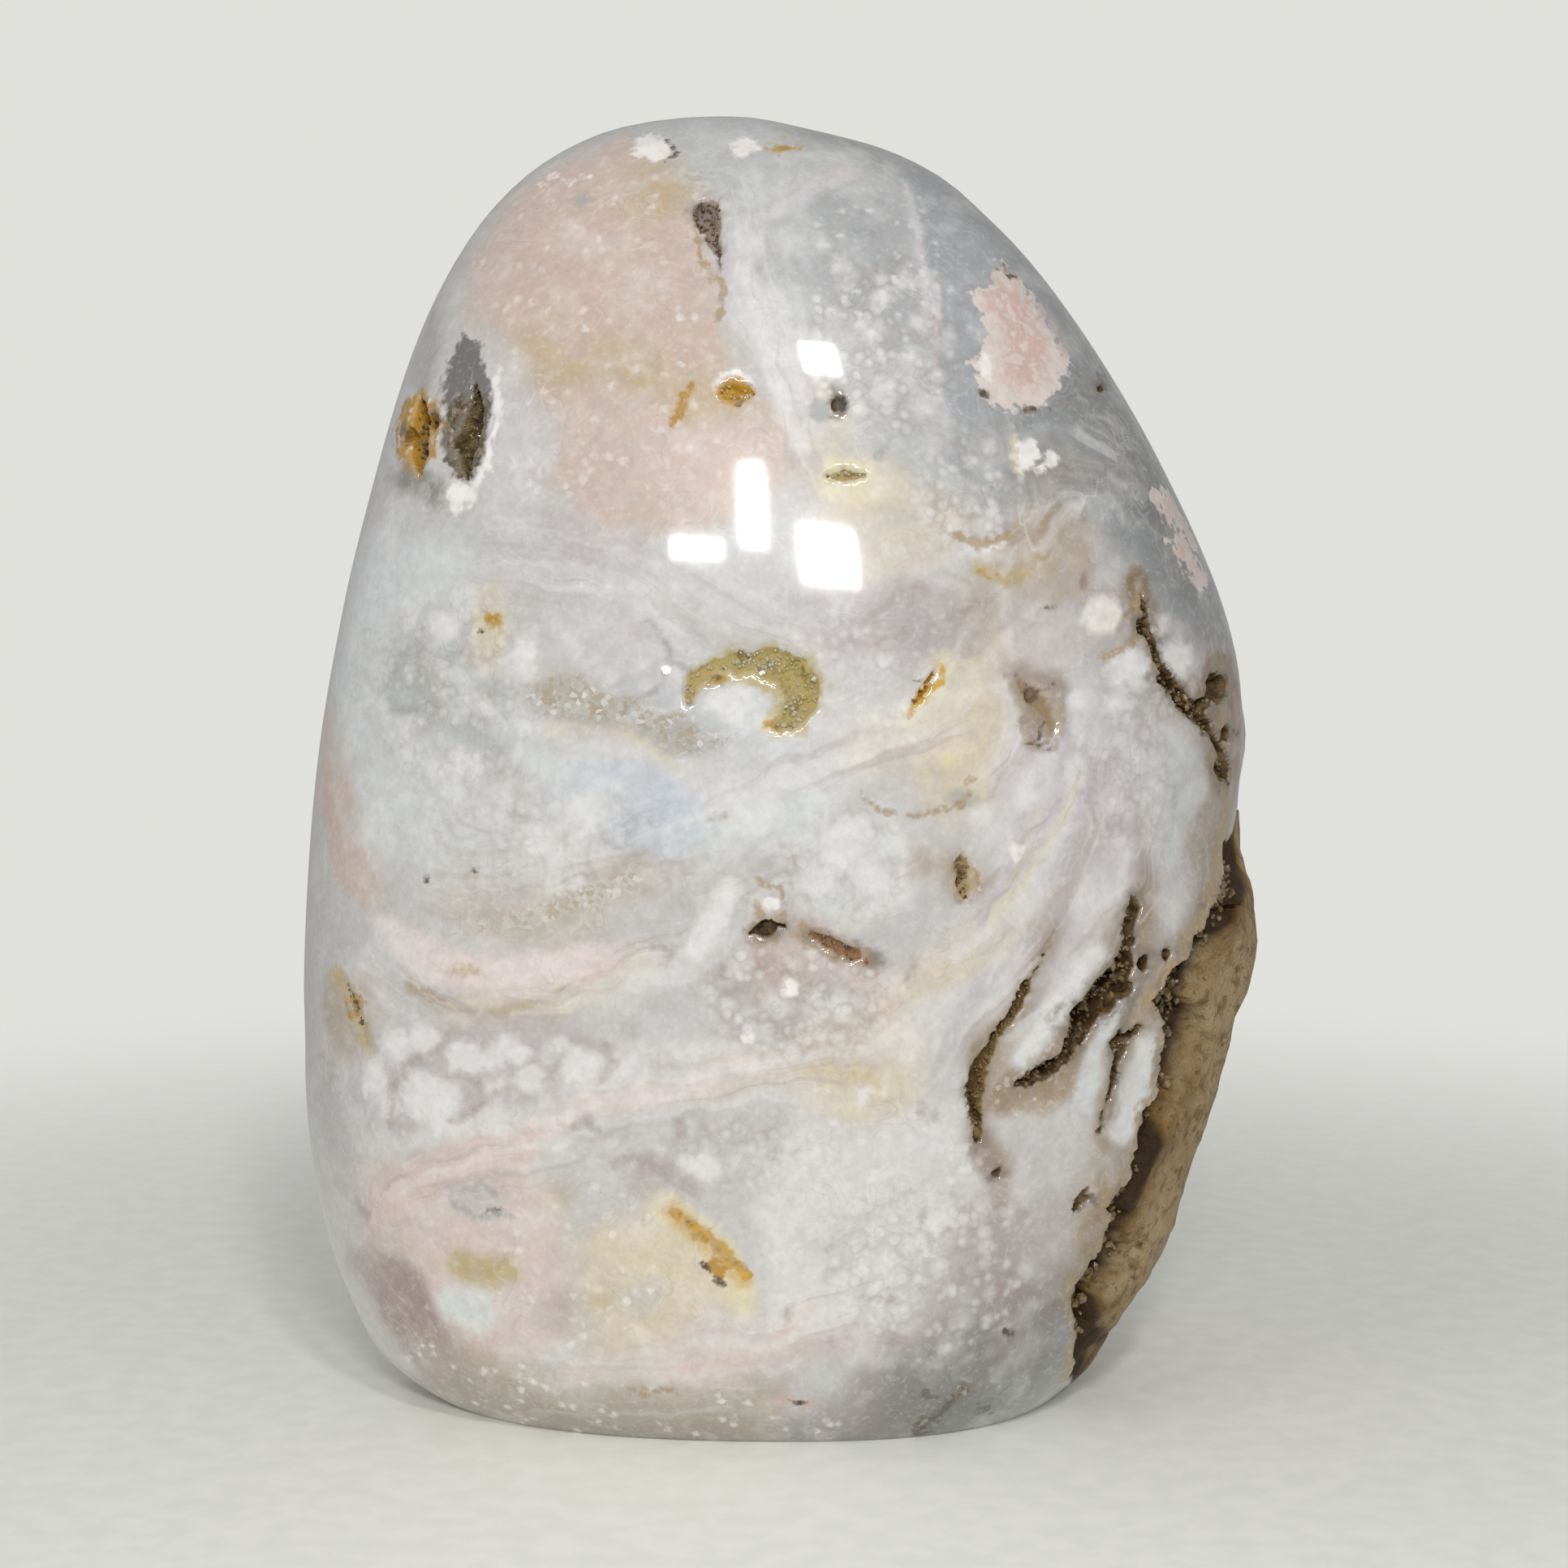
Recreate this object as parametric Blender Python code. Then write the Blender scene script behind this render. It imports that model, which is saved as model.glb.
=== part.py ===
"""Flower agate freeform: a standing, flame-shaped polished stone with a flat sawn base.

One stone carries everything: a deep fissure down its right side with a rough natural rim behind it,
and smaller fissures and pits on its front. The main hollows are lined with druse, small quartz
crystals, and each lining is one crust. Units are metres, +Z is up, the front faces -Y, and the
origin is on the floor under the middle of the stone.
"""
import math
import random

import bmesh
import bpy
from mathutils import Matrix, Vector, noise

# The stone's outline, as its reach to each side at a few heights.
# Each row is height, left edge, right edge, front and back.
TOP = 0.150
OUTLINE = (
    (0.000, -0.0418, 0.0337, -0.0255, 0.0240),
    (0.004, -0.0471, 0.0379, -0.0285, 0.0270),
    (0.012, -0.0517, 0.0430, -0.0305, 0.0295),
    (0.024, -0.0551, 0.0479, -0.0316, 0.0310),
    (0.040, -0.0563, 0.0519, -0.0322, 0.0320),
    (0.050, -0.0563, 0.0557, -0.0322, 0.0322),
    (0.058, -0.0559, 0.0560, -0.0322, 0.0320),
    (0.066, -0.0553, 0.0541, -0.0320, 0.0320),
    (0.078, -0.0539, 0.0553, -0.0314, 0.0316),
    (0.092, -0.0513, 0.0527, -0.0300, 0.0304),
    (0.110, -0.0467, 0.0447, -0.0270, 0.0275),
    (0.126, -0.0413, 0.0349, -0.0225, 0.0235),
    (0.138, -0.0343, 0.0247, -0.0165, 0.0175),
    (0.146, -0.0249, 0.0127, -0.0095, 0.0105),
    (0.149, -0.0168, 0.0012, -0.0047, 0.0050),
)
LEFT, RIGHT, FRONT, BACK = 1, 2, 3, 4
SPINE_TOP = -0.0063
SPINE_BASE = 0.0017
BLUNTNESS = 2.3
SUNK = 0.009
STONE_SEGMENTS = 56
STONE_RINGS = 40

# The rough natural rim behind the side fissure.
RIM_TOP = 0.067
RIM_FADE = 0.006
RIM_FRONT = -0.016
RIM_BACK = 0.020
RIM_LUMP = 0.0016
RIM_LUMP_SIZE = 0.0065

# Hollows on the front. Each has a depth and a path of x, height and width at the surface.
HOLLOWS = {
    "side_fissure": (0.0125, (
        (0.0536, 0.0675, 0.0014), (0.0530, 0.0635, 0.0042), (0.0515, 0.0590, 0.0064),
        (0.0493, 0.0550, 0.0074), (0.0469, 0.0520, 0.0084), (0.0455, 0.0490, 0.0086),
        (0.0460, 0.0455, 0.0076), (0.0459, 0.0415, 0.0072), (0.0450, 0.0375, 0.0070),
        (0.0437, 0.0335, 0.0070), (0.0418, 0.0290, 0.0072), (0.0402, 0.0250, 0.0068),
        (0.0388, 0.0205, 0.0066), (0.0375, 0.0165, 0.0064), (0.0368, 0.0125, 0.0056),
        (0.0366, 0.0090, 0.0044), (0.0363, 0.0058, 0.0024))),
    "upper_fissure": (0.0060, (
        (0.0402, 0.0962, 0.0008), (0.0410, 0.0935, 0.0015), (0.0415, 0.0906, 0.0018),
        (0.0427, 0.0875, 0.0018), (0.0444, 0.0846, 0.0030), (0.0469, 0.0822, 0.0030),
        (0.0492, 0.0795, 0.0026), (0.0508, 0.0770, 0.0028), (0.0516, 0.0742, 0.0026),
        (0.0518, 0.0722, 0.0010))),
    "upper_fissure_branch": (0.0045, (
        (0.0505, 0.0860, 0.0008), (0.0499, 0.0842, 0.0024), (0.0484, 0.0822, 0.0022),
        (0.0470, 0.0812, 0.0010))),
    "left_crack": (0.0050, (
        (0.0298, 0.0567, 0.0008), (0.0284, 0.0540, 0.0014), (0.0272, 0.0516, 0.0018),
        (0.0262, 0.0496, 0.0020), (0.0246, 0.0474, 0.0016), (0.0234, 0.0453, 0.0020),
        (0.0222, 0.0430, 0.0026), (0.0217, 0.0408, 0.0030), (0.0219, 0.0388, 0.0024),
        (0.0223, 0.0358, 0.0008))),
    "front_fissure": (0.0070, (
        (0.0396, 0.0612, 0.0012), (0.0392, 0.0585, 0.0020), (0.0390, 0.0560, 0.0026),
        (0.0386, 0.0537, 0.0034), (0.0372, 0.0518, 0.0038), (0.0354, 0.0502, 0.0044),
        (0.0341, 0.0482, 0.0038), (0.0330, 0.0460, 0.0028), (0.0316, 0.0439, 0.0028),
        (0.0298, 0.0426, 0.0026), (0.0279, 0.0417, 0.0024), (0.0262, 0.0410, 0.0010))),
    "third_crack": (0.0040, (
        (0.0407, 0.0467, 0.0012), (0.0386, 0.0451, 0.0022), (0.0377, 0.0417, 0.0018),
        (0.0366, 0.0379, 0.0016), (0.0361, 0.0351, 0.0008))),
    "top_pit": (0.0040, (
        (-0.0074, 0.1384, 0.0026), (-0.0077, 0.1366, 0.0042), (-0.0072, 0.1345, 0.0030),
        (-0.0068, 0.1322, 0.0016), (-0.0067, 0.1304, 0.0008))),
    "left_pit": (0.0050, (
        (-0.0404, 0.1172, 0.0014), (-0.0405, 0.1149, 0.0036), (-0.0404, 0.1126, 0.0046),
        (-0.0402, 0.1104, 0.0038), (-0.0401, 0.1084, 0.0014))),
    "left_grey_pit": (0.0040, (
        (-0.0336, 0.1178, 0.0012), (-0.0334, 0.1154, 0.0026), (-0.0341, 0.1128, 0.0038),
        (-0.0344, 0.1105, 0.0032), (-0.0342, 0.1080, 0.0014))),
    "ochre_pit": (0.0020, (
        (-0.0068, 0.1169, 0.0010), (-0.0056, 0.1170, 0.0026), (-0.0044, 0.1169, 0.0030),
        (-0.0032, 0.1168, 0.0022), (-0.0022, 0.1168, 0.0008))),
    "grey_pit": (0.0020, (
        (0.0069, 0.1170, 0.0008), (0.0070, 0.1156, 0.0018), (0.0069, 0.1142, 0.0008))),
    "narrow_ochre_pit": (0.0018, (
        (0.0054, 0.1078, 0.0008), (0.0074, 0.1079, 0.0020), (0.0094, 0.1079, 0.0008))),
    "brown_pit": (0.0030, (
        (0.0250, 0.0862, 0.0010), (0.0268, 0.0849, 0.0032), (0.0288, 0.0830, 0.0042),
        (0.0301, 0.0806, 0.0030), (0.0303, 0.0784, 0.0010))),
    "tan_pit": (0.0025, (
        (0.0199, 0.0675, 0.0010), (0.0199, 0.0654, 0.0030), (0.0202, 0.0632, 0.0026),
        (0.0203, 0.0617, 0.0008))),
    "ochre_pocket": (0.0034, (
        (-0.0096, 0.0836, 0.0012), (-0.0090, 0.0860, 0.0022), (-0.0066, 0.0875, 0.0026),
        (-0.0036, 0.0881, 0.0030), (-0.0004, 0.0881, 0.0032), (0.0024, 0.0869, 0.0034),
        (0.0037, 0.0844, 0.0034), (0.0028, 0.0819, 0.0028), (0.0005, 0.0807, 0.0014))),
    "orange_crack": (0.0015, (
        (0.0172, 0.0874, 0.0006), (0.0159, 0.0849, 0.0012), (0.0139, 0.0820, 0.0006))),
    "slot": (0.0030, (
        (0.0034, 0.0583, 0.0008), (0.0058, 0.0573, 0.0016), (0.0084, 0.0558, 0.0014),
        (0.0096, 0.0549, 0.0007))),
    "crescent": (0.0015, (
        (-0.0030, 0.0584, 0.0006), (-0.0012, 0.0597, 0.0012), (0.0007, 0.0593, 0.0006))),
    "edge_crack": (0.0030, (
        (-0.0489, 0.0515, 0.0008), (-0.0478, 0.0489, 0.0022), (-0.0467, 0.0462, 0.0016),
        (-0.0462, 0.0441, 0.0007))),
    "ochre_streak": (0.0015, (
        (-0.0119, 0.0283, 0.0007), (-0.0092, 0.0262, 0.0012), (-0.0072, 0.0240, 0.0014),
        (-0.0054, 0.0224, 0.0012), (-0.0034, 0.0214, 0.0007))),
    "lower_crack": (0.0020, (
        (0.0348, 0.0285, 0.0007), (0.0339, 0.0270, 0.0016), (0.0330, 0.0254, 0.0007))),
}
OVERCUT = 0.0050
MOUTH_WIDTH = 0.58
WAIST_DEPTH = 0.55
WAIST_WIDTH = 0.42
FLOOR_WIDTH = 0.16

# Crusts of crystals. Each has the spacing, radius and length of its crystals.
CRUSTS = {
    "side_fissure_crust": ("side_fissure", 0.0030, 0.0015, 0.0060),
    "front_fissure_crust": ("front_fissure", 0.0018, 0.0008, 0.0036),
    "upper_fissure_crust": ("upper_fissure", 0.0024, 0.0007, 0.0032),
    "left_pit_crust": ("left_pit", 0.0011, 0.0008, 0.0026),
    "ochre_pocket_crust": ("ochre_pocket", 0.0020, 0.0008, 0.0018),
}
CLEARANCE = 0.0004
BED_GAP = 0.0006
BED_TOP = 0.70
CRYSTAL_SIDES = 6
CRYSTAL_TIP = 0.45
CRYSTAL_LEAN = 0.45
CRYSTAL_ROOT = 0.85
CRYSTAL_OFFSET = (0.04, 0.16)
CRYSTAL_SIZES = (0.75, 1.15)
CRYSTAL_ROWS = 3
SEED = 7


def between(points, at):
    """Value at a height on the smooth curve through points of (height, value)."""
    if at <= points[0][0]:
        return points[0][1]
    if at >= points[-1][0]:
        return points[-1][1]
    last = len(points) - 1
    i = max(k for k in range(last) if points[k][0] <= at)

    def slope(k):
        low = points[max(k - 1, 0)]
        high = points[min(k + 1, last)]
        return (high[1] - low[1]) / (high[0] - low[0])

    span = points[i + 1][0] - points[i][0]
    t = (at - points[i][0]) / span
    return ((2 * t ** 3 - 3 * t ** 2 + 1) * points[i][1]
            + (t ** 3 - 2 * t ** 2 + t) * span * slope(i)
            + (3 * t ** 2 - 2 * t ** 3) * points[i + 1][1]
            + (t ** 3 - t ** 2) * span * slope(i + 1))


def smooth(low, high, at):
    t = min(max((at - low) / (high - low), 0.0), 1.0)
    return t * t * (3 - 2 * t)


def spine(z):
    """The x of the stone's middle line at a height."""
    return SPINE_BASE + (SPINE_TOP - SPINE_BASE) * z / TOP


def swell(z):
    """How far a ball from the sunken bottom to the top reaches at a height, as a share."""
    middle = (TOP - SUNK) / 2
    half = (TOP + SUNK) / 2
    return math.sqrt(max(1 - ((z - middle) / half) ** 2, 1e-9))


def side_curve(side):
    """A side's reach from the middle line as a share of the ball's, which changes slowly."""
    rows = []
    for row in OUTLINE:
        from_line = row[side] - spine(row[0]) if side in (LEFT, RIGHT) else row[side]
        rows.append((row[0], abs(from_line) / swell(row[0])))
    return rows


SIDE_CURVES = {side: side_curve(side) for side in (LEFT, RIGHT, FRONT, BACK)}


def reach(side, z):
    return between(SIDE_CURVES[side], z) * swell(z)


def front_point(x, z):
    """The point of the polished front at an x and a height."""
    across = x - spine(z)
    share = min(abs(across) / reach(LEFT if across < 0 else RIGHT, z), 1.0)
    return Vector((x, -reach(FRONT, z) * (1 - share ** BLUNTNESS) ** (1 / BLUNTNESS), z))


def front_normal(x, z, step=0.0004):
    along_x = front_point(x + step, z) - front_point(x - step, z)
    along_z = front_point(x, z + step) - front_point(x, z - step)
    return along_x.cross(along_z).normalized()


def make_object(name, mesh, collection, material=None):
    obj = bpy.data.objects.new(name, mesh)
    collection.objects.link(obj)
    if material:
        mesh.materials.append(material)
    return obj


def mesh_from(bm, name):
    bmesh.ops.recalc_face_normals(bm, faces=bm.faces)
    mesh = bpy.data.meshes.new(name)
    bm.to_mesh(mesh)
    bm.free()
    return mesh


def make_material(name, color, roughness):
    material = bpy.data.materials.new(name)
    material.use_nodes = True
    shader = material.node_tree.nodes["Principled BSDF"]
    shader.inputs["Base Color"].default_value = (*color, 1.0)
    shader.inputs["Roughness"].default_value = roughness
    shader.inputs["Metallic"].default_value = 0.0
    return material


def on_section(direction, z):
    """The point of the stone's blunt oval section at a height, in a direction from its middle."""
    bulge = 2 / BLUNTNESS
    along = math.copysign(abs(direction.x) ** bulge, direction.x)
    across = math.copysign(abs(direction.y) ** bulge, direction.y)
    x = spine(z) + along * reach(LEFT if along < 0 else RIGHT, z)
    return Vector((x, across * reach(FRONT if across < 0 else BACK, z), z))


def rim_share(point):
    """1 on the rough natural rim, fading to 0 on the polished stone around it."""
    below = 1 - smooth(RIM_TOP - RIM_FADE, RIM_TOP, point.z)
    behind = smooth(RIM_FRONT - RIM_FADE, RIM_FRONT, point.y)
    before = 1 - smooth(RIM_BACK, RIM_BACK + RIM_FADE, point.y)
    right = smooth(0.5, 0.7, (point.x - spine(point.z)) / reach(RIGHT, point.z))
    return below * behind * before * right * smooth(0.0, RIM_FADE, point.z)


def stone_mesh():
    """A ball drawn out to the stone's outline, roughened on its rim and cut flat at the base."""
    bm = bmesh.new()
    bmesh.ops.create_uvsphere(bm, u_segments=STONE_SEGMENTS, v_segments=STONE_RINGS, radius=1.0)
    for vert in bm.verts:
        z = (TOP - SUNK) / 2 + (TOP + SUNK) / 2 * vert.co.z
        flat = Vector((vert.co.x, vert.co.y, 0.0))
        if flat.length < 1e-6:
            vert.co = Vector((spine(z), 0.0, z))
        else:
            vert.co = on_section(flat.normalized(), z)
    bm.normal_update()
    for vert in bm.verts:
        share = rim_share(vert.co)
        if share > 0:
            lump = noise.noise(vert.co / RIM_LUMP_SIZE)
            vert.co += vert.normal * (lump * RIM_LUMP * share)
    bmesh.ops.bisect_plane(bm, geom=bm.verts[:] + bm.edges[:] + bm.faces[:], plane_co=(0, 0, 0),
                           plane_no=(0, 0, -1), clear_outer=True)
    rim = [edge for edge in bm.edges if edge.is_boundary]
    bmesh.ops.contextual_create(bm, geom=rim)
    for face in bm.faces:
        face.smooth = len(face.verts) <= 4
    return mesh_from(bm, "agate_stone")


def hollow_frames(name):
    """The stations down a hollow: point, outward normal, sideways direction, width and depth."""
    depth, path = HOLLOWS[name]
    widest = max(width for _, _, width in path)
    points = [front_point(x, z) for x, z, _ in path]
    frames = []
    for i, (x, z, width) in enumerate(path):
        along = points[min(i + 1, len(path) - 1)] - points[max(i - 1, 0)]
        out = front_normal(x, z)
        side = out.cross(along).normalized()
        frames.append((points[i], out, side, width, depth * math.sqrt(width / widest)))
    return frames


def loft(name, sections):
    """A closed solid through a row of sections that have the same number of points."""
    bm = bmesh.new()
    rings = [[bm.verts.new(point) for point in section] for section in sections]
    count = len(rings[0])
    for ring, following in zip(rings, rings[1:]):
        for k in range(count):
            after = (k + 1) % count
            bm.faces.new((ring[k], ring[after], following[after], following[k]))
    bm.faces.new(rings[0])
    bm.faces.new(rings[-1])
    return mesh_from(bm, name)


def hollow_section(point, out, side, width, depth, inset=0.0):
    """Six points round a hollow: its mouth above the surface, its waist and its narrow floor."""
    mouth = max(width * MOUTH_WIDTH - inset, 0.0001)
    waist = max(width * WAIST_WIDTH - inset, 0.0001)
    bottom = max(width * FLOOR_WIDTH - inset, 0.0001)
    top = point + out * OVERCUT
    middle = point - out * depth * WAIST_DEPTH
    low = point - out * max(depth - inset, depth * (WAIST_DEPTH + 0.1))
    return (top - side * mouth, middle - side * waist, low - side * bottom,
            low + side * bottom, middle + side * waist, top + side * mouth)


def hollow_mesh(name, inset=0.0):
    frames = hollow_frames(name)
    if inset:
        frames = frames[1:-1]
    return loft(name, [hollow_section(*frame, inset=inset) for frame in frames])


def boolean(obj, cutter, operation):
    modifier = obj.modifiers.new(cutter.name, "BOOLEAN")
    modifier.operation = operation
    modifier.object = cutter
    modifier.solver = "EXACT"


def make_cutter(name, mesh, cutters):
    obj = make_object(name, mesh, cutters)
    obj.hide_render = True
    obj.display_type = "WIRE"
    return obj


def add_crystal(bm, root, direction, radius, length, turn):
    """One six-sided quartz point, rooted at a point and leaning in a direction."""
    shaft = length * (1 - CRYSTAL_TIP)
    pose = Matrix.Translation(root) @ direction.to_track_quat("Z", "Y").to_matrix().to_4x4()
    made = bmesh.ops.create_cone(bm, cap_ends=True, segments=CRYSTAL_SIDES, radius1=radius * 0.9,
                                 radius2=radius, depth=shaft,
                                 matrix=pose @ Matrix.Rotation(turn, 4, "Z")
                                 @ Matrix.Translation((0, 0, shaft / 2)))
    shaft_end = root + direction * shaft
    caps = {face for vert in made["verts"] for face in vert.link_faces if len(face.verts) > 4}
    cap = min(caps, key=lambda face: (face.calc_center_median() - shaft_end).length)
    poked = bmesh.ops.poke(bm, faces=[cap])
    poked["verts"][0].co = root + direction * length


def crystal_poses(hollow, spacing, radius, length, chance):
    """Root, direction, radius, length and turn of each crystal along a hollow's floor."""
    poses = []
    way = 1
    frames = hollow_frames(hollow)[1:-1]
    for here, following in zip(frames, frames[1:]):
        step = following[0] - here[0]
        count = max(1, round(step.length / spacing))
        for k in range(count):
            share = (k + 0.5) / count
            point = here[0] + step * share
            out = here[1]
            side = here[2]
            width = here[3] + (following[3] - here[3]) * share
            depth = here[4] + (following[4] - here[4]) * share
            way = -way
            across = way * chance.uniform(*CRYSTAL_OFFSET) * width
            root = point - out * depth * CRYSTAL_ROOT + side * across
            lean = side * (-way * chance.uniform(0.0, CRYSTAL_LEAN))
            lean += step.normalized() * chance.uniform(-CRYSTAL_LEAN, CRYSTAL_LEAN)
            size = chance.uniform(*CRYSTAL_SIZES)
            poses.append((root, (out + lean).normalized(), radius * size, length * size,
                          chance.uniform(0.0, math.tau)))
    return poses


def cluster_mesh(name, poses):
    bm = bmesh.new()
    for pose in poses:
        add_crystal(bm, *pose)
    return mesh_from(bm, name)


def half_width(width, share):
    """Half a hollow's width at a share of its depth, from its waist down."""
    below_waist = (share - WAIST_DEPTH) / (1 - WAIST_DEPTH)
    return width * (WAIST_WIDTH + (FLOOR_WIDTH - WAIST_WIDTH) * below_waist)


def crust_bed_mesh(name, hollow):
    """The crust's bed, which fills the bottom of the hollow."""
    sections = []
    for point, out, side, width, depth in hollow_frames(hollow)[1:-1]:
        share = 1 - BED_GAP / depth
        low = point - out * depth * share
        high = point - out * depth * BED_TOP
        narrow = max(half_width(width, share) - BED_GAP, 0.0001)
        wide = max(half_width(width, BED_TOP) - BED_GAP, 0.0002)
        sections.append((high - side * wide, low - side * narrow,
                         low + side * narrow, high + side * wide))
    return loft(name, sections)


def make_crust(name, collection, cutters, material, chance):
    """A bed with crystals on it, joined in rows that don't touch, and kept inside its hollow."""
    hollow, spacing, radius, length = CRUSTS[name]
    crust = make_object(name, crust_bed_mesh(name, hollow), collection, material)
    poses = crystal_poses(hollow, spacing, radius, length, chance)
    for row in range(CRYSTAL_ROWS):
        row_name = f"{name}_crystals_{row + 1}"
        row_mesh = cluster_mesh(row_name, poses[row::CRYSTAL_ROWS])
        boolean(crust, make_cutter(row_name, row_mesh, cutters), "UNION")
    room = make_cutter(name + "_room", hollow_mesh(hollow, inset=CLEARANCE), cutters)
    boolean(crust, room, "INTERSECT")


def make_stone(collection, cutters, material):
    stone = make_object("agate_stone", stone_mesh(), collection, material)
    for name in HOLLOWS:
        boolean(stone, make_cutter(name + "_cut", hollow_mesh(name), cutters), "DIFFERENCE")


def main():
    for obj in list(bpy.data.objects):
        bpy.data.objects.remove(obj, do_unlink=True)
    collection = bpy.data.collections.new("flower_agate_freeform")
    cutters = bpy.data.collections.new("cutters")
    bpy.context.scene.collection.children.link(collection)
    bpy.context.scene.collection.children.link(cutters)
    polished = make_material("polished_agate", (0.62, 0.52, 0.51), 0.14)
    brown = make_material("brown_druse", (0.34, 0.23, 0.13), 0.40)
    ochre = make_material("ochre_druse", (0.48, 0.33, 0.12), 0.40)
    make_stone(collection, cutters, polished)
    chance = random.Random(SEED)
    for name in CRUSTS:
        make_crust(name, collection, cutters, ochre if name.startswith("ochre") else brown, chance)


main()
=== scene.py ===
"""The looks of the flower agate freeform: its polished and painted stone, its druse and its light.

Units are metres, +Z is up and the front faces -Y, as in the frame. The body is the same formula as
the solid's. Markings are spots, bands and patches, given in the pixels of a 1932 x 1932 photograph
and in its view, and carried to the stone by projecting each vertex.
"""
import math

import bpy
import numpy as np
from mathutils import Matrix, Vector


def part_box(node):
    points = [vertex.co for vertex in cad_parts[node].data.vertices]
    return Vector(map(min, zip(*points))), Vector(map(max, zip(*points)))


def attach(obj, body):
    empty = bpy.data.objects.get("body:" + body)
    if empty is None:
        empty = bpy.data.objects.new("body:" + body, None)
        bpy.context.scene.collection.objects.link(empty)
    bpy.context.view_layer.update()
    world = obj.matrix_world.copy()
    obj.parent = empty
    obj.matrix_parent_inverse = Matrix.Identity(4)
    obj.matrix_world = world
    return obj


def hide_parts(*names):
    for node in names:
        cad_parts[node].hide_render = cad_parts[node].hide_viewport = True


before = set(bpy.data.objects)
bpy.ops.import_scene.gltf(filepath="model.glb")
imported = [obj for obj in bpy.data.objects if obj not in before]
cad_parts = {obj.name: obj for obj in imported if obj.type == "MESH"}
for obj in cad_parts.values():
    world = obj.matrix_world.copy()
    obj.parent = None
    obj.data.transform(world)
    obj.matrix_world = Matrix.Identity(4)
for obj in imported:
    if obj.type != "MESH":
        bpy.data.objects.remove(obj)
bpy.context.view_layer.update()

# The stone's outline, as its reach to each side at a few heights.
# Each row is height, left edge, right edge, front and back.
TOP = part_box("agate_stone")[1].z
OUTLINE = (
    (0.000, -0.0418, 0.0337, -0.0255, 0.0240),
    (0.004, -0.0471, 0.0379, -0.0285, 0.0270),
    (0.012, -0.0517, 0.0430, -0.0305, 0.0295),
    (0.024, -0.0551, 0.0479, -0.0316, 0.0310),
    (0.040, -0.0563, 0.0519, -0.0322, 0.0320),
    (0.050, -0.0563, 0.0557, -0.0322, 0.0322),
    (0.058, -0.0559, 0.0560, -0.0322, 0.0320),
    (0.066, -0.0553, 0.0541, -0.0320, 0.0320),
    (0.078, -0.0539, 0.0553, -0.0314, 0.0316),
    (0.092, -0.0513, 0.0527, -0.0300, 0.0304),
    (0.110, -0.0467, 0.0447, -0.0270, 0.0275),
    (0.126, -0.0413, 0.0349, -0.0225, 0.0235),
    (0.138, -0.0343, 0.0247, -0.0165, 0.0175),
    (0.146, -0.0249, 0.0127, -0.0095, 0.0105),
    (0.149, -0.0168, 0.0012, -0.0047, 0.0050),
)
LEFT, RIGHT, FRONT, BACK = 1, 2, 3, 4
SPINE_TOP = -0.0063
SPINE_BASE = 0.0017
BLUNTNESS = 2.3
SUNK = 0.009
MIDDLE = (TOP - SUNK) / 2
HALF = (TOP + SUNK) / 2
POLE_SHARE = 0.8

# The stone's first mesh, and how long its edges may be once it has been refined.
FIRST_SEGMENTS = 54
FIRST_RINGS = 28
BASE_RINGS = 4
REFINEMENTS = 6
FRONT_EDGE = 0.00090
BACK_EDGE = 0.0030
RIM_EDGE = 0.00085
HOLLOW_EDGE = 0.00060
MARK_TRIANGLE_EDGE = 0.00056
BASE_EDGE = 0.0060
MARK_NEAR = 9.0
EDGE_SLACK = 1.4
RIM_COUNTS = 0.02
HOLLOW_COUNTS = 1.15
TURNED_TO_FRONT = (-0.15, 0.35)

# Kinds of shapes laid out in the photograph's pixels: a spot is (x, y, half width, half height,
# turn in degrees), a band is a path with a width, and a patch is an outline.
SPOT, BAND, PATCH = "spot", "band", "patch"

# The rough natural rim behind the side fissure: its middle, as a depth and a height, its half sizes
# there, how square and ragged it is, and where it ends at its edge, on its left and low down.
RIM_MIDDLE = (-0.004, 0.033)
RIM_REACH = (0.027, 0.035)
RIM_SQUARENESS = 3
RIM_RAGGED = ((0.0110, 0.22), (0.0036, 0.08))
RIM_ENDS = (0.92, 1.04)
RIM_FROM_MIDDLE = (0.5, 0.7)
RIM_BEHIND_LIP = (-2.0, 4.0)
RIM_FADE = 0.006
RIM_LUMPS = ((0.0085, 0.0013), (0.0030, 0.00036), (0.0010, 0.00012))
# The lip of the side fissure wavers by a few pixels, and is lost to view behind the middle.
LIP_RAGGED = ((0.0016, 5.0), (0.0006, 2.0))
LIP_SEEN = 0.006
FAR_BEHIND_LIP = 100

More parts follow.
